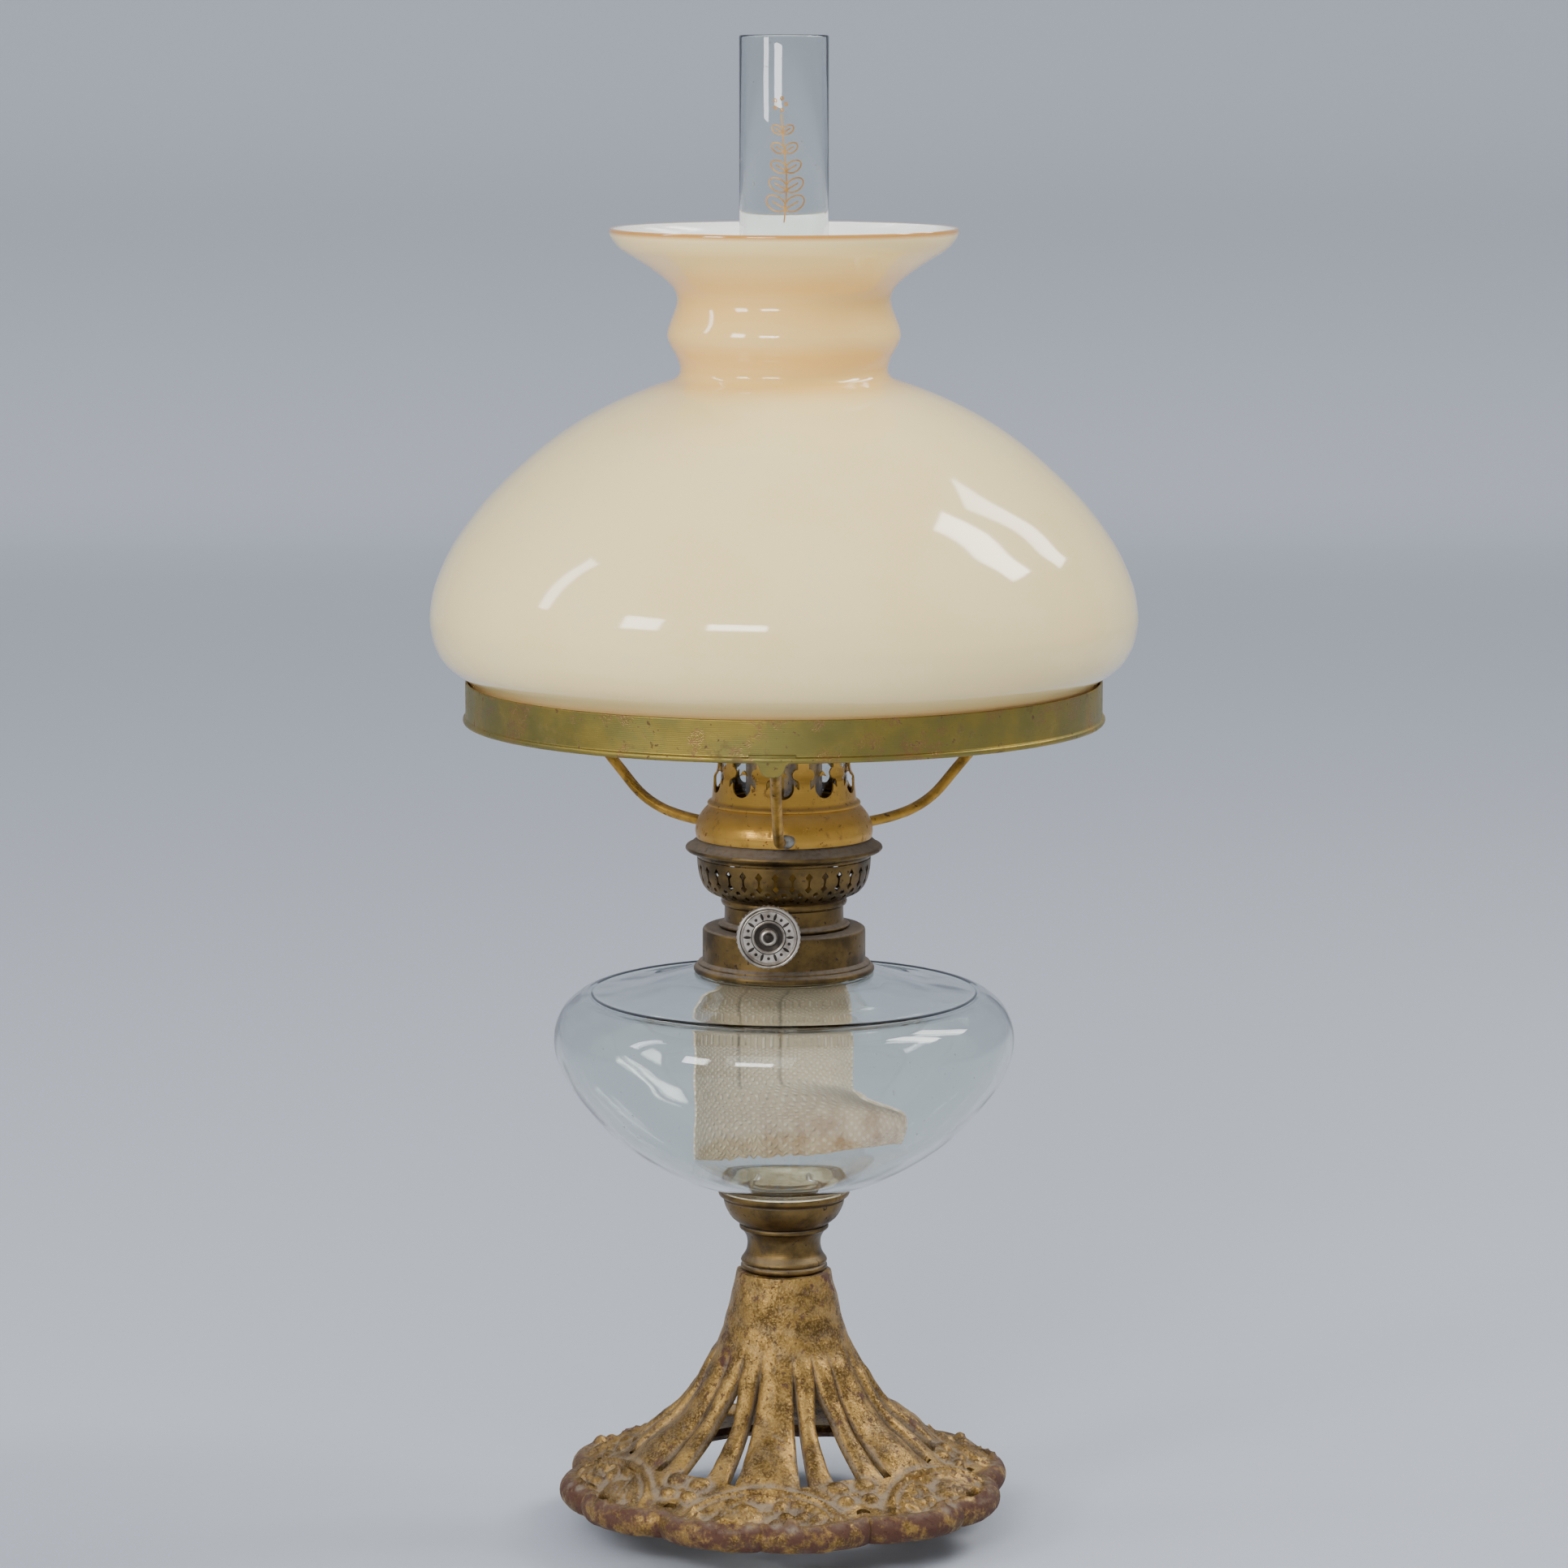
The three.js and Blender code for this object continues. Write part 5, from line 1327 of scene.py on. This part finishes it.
class LAMP_OT_wick(LampOperator, bpy.types.Operator):
    """Adds the woven wick, rolled in the burner and hanging open in the font"""

    bl_idname = "lamp.wick"
    bl_label = "Wick"

    def make(self):
        bottom, top = low("wick"), high("wick")
        across, down = 64, 150
        markers = (20, 34)  # threads
        width = size("wick_width")
        half = size("wick_thickness") / 2
        rnd = random.Random(7)
        fray = [rnd.uniform(-1.6, 0.8) for _ in range(across + 1)]
        skins = {1: [], -1: []}
        marks = {"across": [], "along": [], "stain": [], "marker": []}
        grid = []
        for i in range(down + 1):
            share = i / down
            for j in range(across + 1):
                u = j / across - 0.5
                z = top + (bottom - top) * share
                radius, seam, spread, opened = wick_section(z)
                azimuth = seam + u * -spread
                at = place(radius, azimuth, z)
                at.y -= (radius - LOOSE_RADIUS) * opened * 0.9
                at.x -= 4.0 * opened
                low_share = stepped((bottom + 30 - z) / 15)
                right = stepped(0.5 + u * 1.2)
                at.x += 20 * low_share * right
                at.y += 8 * low_share * right
                sway = noise.noise(Vector((u * 2.2, z * 0.045, 3.0)))
                at += place(1, azimuth, 0) * sway * 3.2 * opened
                ripple = opened * noise.noise(Vector((u * 3, z * 0.06, 8))) * 1.5
                at.z += fray[j] * stepped((share - 0.9) / 0.1) + ripple
                floor = font_floor(math.hypot(at.x, at.y)) + 1.4
                at.z = max(at.z, floor + max(0.0, z - bottom) * 0.35)
                grid.append(at)
        for i in range(down + 1):
            for j in range(across + 1):
                here = grid[i * (across + 1) + j]
                right = grid[i * (across + 1) + min(j + 1, across)] - grid[i * (across + 1) + max(j - 1, 0)]
                below = grid[min(i + 1, down) * (across + 1) + j] - grid[max(i - 1, 0) * (across + 1) + j]
                normal = right.cross(below).normalized()
                plump = half * (1 + 0.10 * math.sin(i * 1.9) * math.sin(j * 1.5))
                edge = min(j, across - j)
                plump *= 0.55 + 0.45 * stepped(edge / 3)
                for side in (1, -1):
                    skins[side].append(here + normal * plump * side)
        for side in (1, -1):
            for i in range(down + 1):
                z = top + (bottom - top) * i / down
                for j in range(across + 1):
                    marks["across"].append((j / across - 0.5) * width * MM)
                    marks["along"].append(z * MM)
                    marks["stain"].append(stepped((bottom + 30 - z) / 26) * stepped(0.15 + j / across))
                    marks["marker"].append(1.0 if j in markers and z > bottom + 26 else 0.0)
        count = (down + 1) * (across + 1)
        faces = []
        for i in range(down):
            for j in range(across):
                a = i * (across + 1) + j
                quad = [a, a + 1, a + across + 2, a + across + 1]
                faces.append(quad)
                faces.append([count + k for k in quad[::-1]])
        row = across + 1
        border = list(range(across)) + [i * row + across for i in range(down)]
        border += [down * row + j for j in range(across, 0, -1)] + [i * row for i in range(down, 0, -1)]
        for a, b in zip(border, border[1:] + border[:1]):
            faces.append([a, b, count + b, count + a])
        cloth = piece("woven_wick", (skins[1] + skins[-1], faces), "wick_cloth", "cotton",
                      ["wick"], marks, 60)


def font_floor(radius):
    """Height of the glass floor inside the font at a radius, in millimetres."""
    z = high("font_cup") + JOINT_GAP + size("font_wall")
    belly = [(20, 0.4), (30.5, 2.9), (40.3, 6.6), (52.3, 13.6), (64.3, 23.0), (75, 35.5)]
    for (r0, h0), (r1, h1) in zip(belly, belly[1:]):
        if radius < r1:
            return z + h0 + (h1 - h0) * max(0.0, (radius - r0) / (r1 - r0))
    return z + belly[-1][1]


# ---- Shade carrier ----

PRONG_PITCH = 36.0  # degrees
PRONG_TURN = -19.0  # degrees


def gallery_outline():
    """The gallery's outer face with its prongs, from their tips down."""
    z = low("chimney_gallery")
    skirt = [(33.2, z), (33.5, z + 1.4), (33.6, z + 3.2), (33.0, z + 5.8), (31.9, z + 8.2), (30.3, z + 10.4),
             (28.9, z + 11.8)]
    step = [(28.6, z + 12.3), (29.0, z + 12.8), (28.8, z + 13.5), (27.8, z + 14.1), (27.3, z + 14.7)]
    crown = [(27.1, z + 16.5), (26.8, z + 19.5), (26.5, z + 23.2)]
    prong = [(25.7, z + 24.6), (25.2, z + 26.8), (25.1, z + 29.5), (25.3, z + 32.0), (25.8, z + 34.4)]
    return evenly(through(skirt + step + crown + prong, 6)[::-1], 0.42)


def prong_half(h):
    """Half-width of a prong at a height above the gallery's foot."""
    neck = 2.15
    lobe = 4.3 * math.sqrt(max(0.0, 1 - ((h - 26.6) / 2.6) ** 2))
    tip = 2.4 * math.sqrt(max(0.0, 1 - ((h - 31.8) / 2.6) ** 2)) if h > 29.6 else 0
    straight = neck if h < 31.6 else 0
    return max(straight, lobe if abs(h - 26.6) < 2.6 else 0, tip)


def gallery_hole(degrees, r, z):
    """Distance inside the round bites at the prongs' feet and the open air beside the prongs."""
    h = z - low("chimney_gallery")
    scale = math.radians(1) * r
    off = abs(degrees - PRONG_PITCH / 2) * scale
    gap = PRONG_PITCH / 2 * scale - off
    bite = 4.25 - math.hypot(gap, h - 21.9)
    if h < 18:
        return bite
    ear = 20.9 + (off - 2.2) * 1.25
    open_air = min(h - ear, off - prong_half(h))
    return max(bite, open_air)


class LAMP_OT_gallery(LampOperator, bpy.types.Operator):
    """Adds the gallery with its spring prongs, and the plate that the chimney stands on"""

    bl_idname = "lamp.gallery"
    bl_label = "Gallery"

    def make(self):
        points, faces, _ = openwork(gallery_outline(), 44, 10, size("sheet"), gallery_hole)
        points = spun(points, PRONG_TURN - PRONG_PITCH / 2)
        piece("prong_gallery", (points, faces), "shade_carrier", "golden_brass",
              ["chimney_gallery"], sharp=45)
        z, top = low("chimney_seat"), high("chimney_seat")
        piece("chimney_plate", turned(eased([(21.3, z), (25.6, z), (25.6, top), (21.3, top)], 0.15), 128),
              "shade_carrier", "golden_brass", ["chimney_seat"])


ARM_TURNS = {"front": -2.0, "right": 118.0, "left": 238.0}


class LAMP_OT_arms(LampOperator, bpy.types.Operator):
    """Adds the three bent arms and the solder that holds them"""

    bl_idname = "lamp.arms"
    bl_label = "Arms"

    def make(self):
        z = low("chimney_gallery")
        under = low("shade_ring") + LUG_DROP
        bend = through([(36.0, z + 2.9), (46.0, z + 4.2), (56.0, z + 6.8), (65.5, z + 12.0),
                        (75.5, z + 21.6), (86.0, z + 31.6),
                        (97.0, under - 4.6), (108.0, under - 2.6), (117.3, under - 2.5)], 6)
        for side, turn in ARM_TURNS.items():
            path = [place(r, turn, h) for r, h in bend]
            points, faces = swept(path, size("arm_radius"), 24)
            piece("bent_arm_" + side, (points, faces), "shade_carrier", "rod_brass",
                  ["carrier_arm_" + side])
            rnd = Vector((turn, 3.0, 1.0))
            lump = []
            rings, sides = 10, 20
            for i in range(rings + 1):
                polar = math.pi * i / rings
                for k in range(sides):
                    a = TURN * k / sides
                    way = Vector((math.sin(polar) * math.cos(a), math.sin(polar) * math.sin(a),
                                  math.cos(polar)))
                    swell = 1 + 0.22 * noise.noise(way * 1.7 + rnd)
                    spot = Vector((way.x * 3.3, way.y * 1.8, way.z * 2.6)) * swell
                    here = place(34.9, turn + 3.4, z + 3.1)
                    lump.append(here + spun([spot], turn)[0])
            piece("solder_" + side, (lump, bands(rings + 1, sides)), "shade_carrier", "solder",
                  sharp=80)


def lug(turn):
    """A lug under the ring: a tongue bent down from its lower edge, with round shoulders."""
    z = low("shade_ring") + LUG_DROP
    outline = [(-8.5, 0.9), (-6.4, 0.5), (-5.0, -0.6), (-4.4, -2.2), (-3.6, -3.9), (-2.2, -4.8), (0.0, -5.0),
               (2.2, -4.8),
               (3.6, -3.9), (4.4, -2.2), (5.0, -0.6), (6.4, 0.5), (8.5, 0.9), (8.5, 3.2), (-8.5, 3.2)]
    points = []
    count = len(outline)
    for r in (118.9, 119.2, 120.6, 120.9):
        inset = 0.25 if r in (118.9, 120.9) else 0.0
        for t, h in outline:
            shrink = 1 - inset / 5
            points.append(place(r, turn + math.degrees(t * shrink / r), z + (h + 1) * shrink - 1))
    faces = bands(4, count)
    faces.append(list(range(count)))
    faces.append(list(range(3 * count, 4 * count)))
    return points, faces


class LAMP_OT_ring(LampOperator, bpy.types.Operator):
    """Adds the ring that the shade stands in, with its rolled edge and lugs"""

    bl_idname = "lamp.ring"
    bl_label = "Shade ring"

    def make(self):
        z, top = low("shade_ring") + LUG_DROP, high("shade_ring")
        roll = [(119.4, z), (120.6, z + 0.2), (121.0, z + 1.0), (120.8, z + 1.9), (120.1, z + 2.4)]
        outline = [(114.8, z + 0.1), *through(roll, 5), (120.0, z + 3.0), (120.0, top - 0.3), (119.7, top),
                   (119.2, top),
                   (119.0, top - 0.4), (119.0, z + 1.0), (114.8, z + 0.9)]
        band = turned(eased(outline, 0.15), 256)
        piece("shade_ring_band", joined(band, *(lug(turn) for turn in ARM_TURNS.values())), "shade_carrier",
              "olive_brass", ["shade_ring"])


# ---- Shade and chimney ----


class LAMP_OT_shade(LampOperator, bpy.types.Operator):
    """Adds the opal shade, cream outside and white inside"""

    bl_idname = "lamp.shade"
    bl_label = "Shade"

    def make(self):
        z = low("glass_shade")
        fitter = [(117.8, z + 0.6), (117.8, z + 9), (118.0, z + 13.6)]
        body = [(120.3, z + 16.3), (124.9, z + 19.4), (128.8, z + 23.3), (131.6, z + 29.0),
                (132.9, z + 35.5), (133.0, z + 40.0),
                (131.7, z + 48.0), (129.2, z + 55.2), (125.6, z + 62.8), (120.9, z + 70.2),
                (112.4, z + 81.2), (102.2, z + 91.6),
                (89.3, z + 102.8), (76.0, z + 111.9), (62.5, z + 119.0), (50.0, z + 124.2), (43.6, z + 126.4)]
        throat = [(40.6, z + 127.6), (39.2, z + 129.4), (38.9, z + 131.8), (40.2, z + 135.9),
                  (42.4, z + 139.7), (43.7, z + 143.4),
                  (43.1, z + 147.0), (41.4, z + 151.4), (40.1, z + 155.4), (40.1, z + 158.4),
                  (41.6, z + 161.6), (45.2, z + 165.2),
                  (50.3, z + 169.0), (56.2, z + 172.8), (61.4, z + 176.2), (64.6, z + 180.2),
                  (65.4, z + 182.6)]
        face = evenly(through(fitter + body + throat, 8), 1.6)
        wall = size("opal_wall")
        inner = beside(face, wall)
        top = high("glass_shade")
        rim = [(64.9, top - 0.1), (63.6, top - 0.25)]
        foot = [(115.2, z + 0.1), (117.2, z + 0.05)]
        outline = face + rim + inner[::-1] + foot
        facets = 224
        points, faces = turned(outline, facets)
        count = len(face)
        edge, deep = [], []
        for i, (r, h) in enumerate(outline):
            at_rim = 1.0 if count - 1 <= i <= count else 0.0
            at_foot = stepped((z + 17.6 - h) / 2.4) * 0.35 if i < count else 0.0
            edge += [max(at_rim, at_foot)] * facets
            neck = stepped((58 - r) / 22) * 0.9 if i < count else 0.0
            low_part = 0.25 * stepped((z + 34 - h) / 24) if i < count else 0.0
            deep += [min(1.0, max(neck, low_part))] * facets
        made = piece("opal_shade", (points, faces), "shade", "opal_outer opal_inner",
                     ["glass_shade"], {"edge": edge, "deep": deep}, 60)
        inside = (count + 1) * facets
        for face in made.data.polygons:
            if all(inside <= v < inside + len(inner) * facets for v in face.vertices):
                face.material_index = 1


def sprig():
    """The gilt motif's strokes: a generic leaf sprig of (sideways, up) points in millimetres."""
    strokes = [[(0.9 * math.sin(h / 9), h) for h in range(0, 41, 2)]]
    for i in range(5):
        up = 5 + 7 * i
        leaf_size = 8.2 - 0.9 * i
        for side in (-1, 1):
            leaf = []
            for k in range(17):
                a = TURN * k / 16
                along, wide = leaf_size * (1 - math.cos(a)) / 2, 0.32 * leaf_size * math.sin(a)
                leaf.append((side * (along * 0.86 - wide * 0.5) + 0.9 * math.sin(up / 9),
                             up + along * 0.5 + wide * 0.86))
            strokes.append(leaf)
            vein = [(side * leaf_size * s * 0.86 + 0.9 * math.sin(up / 9),
                     up + leaf_size * s * 0.5) for s in (0.0, 0.35, 0.7)]
            strokes.append(vein)
    for k in range(5):
        a = TURN * k / 5
        strokes.append([(1.5 * math.sin(40 / 9) + 2.2 * math.cos(a) + 0.55 * math.cos(b),
                         43.5 + 2.2 * math.sin(a) + 0.55 * math.sin(b))
                        for b in (TURN * j / 8 for j in range(9))])
    return strokes


def gilt_strip(stroke, radius, foot, half):
    """A stroke as a thin strip on the chimney's wall."""
    points, faces = [], []
    for i, (x, h) in enumerate(stroke):
        x0, h0 = stroke[max(i - 1, 0)]
        x1, h1 = stroke[min(i + 1, len(stroke) - 1)]
        length = math.hypot(x1 - x0, h1 - h0) or 1
        nx, nh = -(h1 - h0) / length * half, (x1 - x0) / length * half
        for r in (radius - 0.02, radius + 0.06):
            for s in (-1, 1):
                points.append(place(r, math.degrees((x + nx * s) / radius), foot + h + nh * s))
    for i in range(len(stroke) - 1):
        a, b = 4 * i, 4 * i + 4
        for p, q in ((0, 1), (1, 3), (3, 2), (2, 0)):
            faces.append([a + p, a + q, b + q, b + p])
    faces.append([0, 1, 3, 2])
    end = 4 * (len(stroke) - 1)
    faces.append([end, end + 2, end + 3, end + 1])
    return points, faces


class LAMP_OT_chimney(LampOperator, bpy.types.Operator):
    """Adds the glass chimney and the gilt sprig on its front"""

    bl_idname = "lamp.chimney"
    bl_label = "Chimney"

    def make(self):
        z, top = low("glass_chimney"), high("glass_chimney")
        tube = 16.7
        foot = [(23.9, z + 0.5), (24.0, z + 2), (24.0, z + 20), (23.9, z + 36)]
        waist = [(23.6, z + 39), (22.4, z + 41.8), (19.8, z + 44.6), (17.2, z + 47.6), (15.7, z + 50.4),
                 (15.3, z + 53.5),
                 (15.9, z + 58), (16.5, z + 63), (tube, z + 70)]
        face = through(foot + waist, 6) + [(tube, z + 120), (tube, z + 200), (tube, top - 0.8)]
        wall = size("chimney_wall")
        lip = [(16.5, top - 0.25), (15.9, top), (15.3, top - 0.15)]
        inner = beside(face, wall)[::-1]
        base = [(22.4, z + 0.1), (23.2, z)]
        piece("glass_chimney_tube", turned(face + lip + inner + base, 144), "chimney",
              "chimney_glass", ["glass_chimney"], sharp=60)
        foot_height = high("glass_shade") + 2.5
        strips = [gilt_strip(stroke, tube, foot_height, size("gilt_line") / 2) for stroke in sprig()]
        piece("gilt_sprig", joined(*strips), "chimney", "gilt_line")


class LAMP_PT_panel(bpy.types.Panel):
    """Lists the lamp's operators"""

    bl_idname = "LAMP_PT_panel"
    bl_label = "Oil lamp"
    bl_space_type = "VIEW_3D"
    bl_region_type = "UI"
    bl_category = "Oil lamp"

    def draw(self, context):
        for maker in MAKERS:
            self.layout.operator(maker.bl_idname)
        for group in (context.scene.lamp_sizes, context.scene.lamp_colours):
            for name in group.__annotations__:
                self.layout.prop(group, name)


MAKERS = (
    LAMP_OT_stage,
    LAMP_OT_foot,
    LAMP_OT_tie,
    LAMP_OT_stem,
    LAMP_OT_font,
    LAMP_OT_collar,
    LAMP_OT_burner,
    LAMP_OT_feed,
    LAMP_OT_wick,
    LAMP_OT_gallery,
    LAMP_OT_arms,
    LAMP_OT_ring,
    LAMP_OT_shade,
    LAMP_OT_chimney,
)


def register():
    for kind in (LampSizes, LampColours, *MAKERS, LAMP_PT_panel):
        bpy.utils.register_class(kind)
    bpy.types.Scene.lamp_sizes = bpy.props.PointerProperty(type=LampSizes)
    bpy.types.Scene.lamp_colours = bpy.props.PointerProperty(type=LampColours)


def unregister():
    del bpy.types.Scene.lamp_colours
    del bpy.types.Scene.lamp_sizes
    for kind in reversed((LampSizes, LampColours, *MAKERS, LAMP_PT_panel)):
        bpy.utils.unregister_class(kind)


def main():
    register()
    for maker in MAKERS:
        group, name = maker.bl_idname.split(".")
        getattr(getattr(bpy.ops, group), name)()


if __name__ == "__main__":
    main()
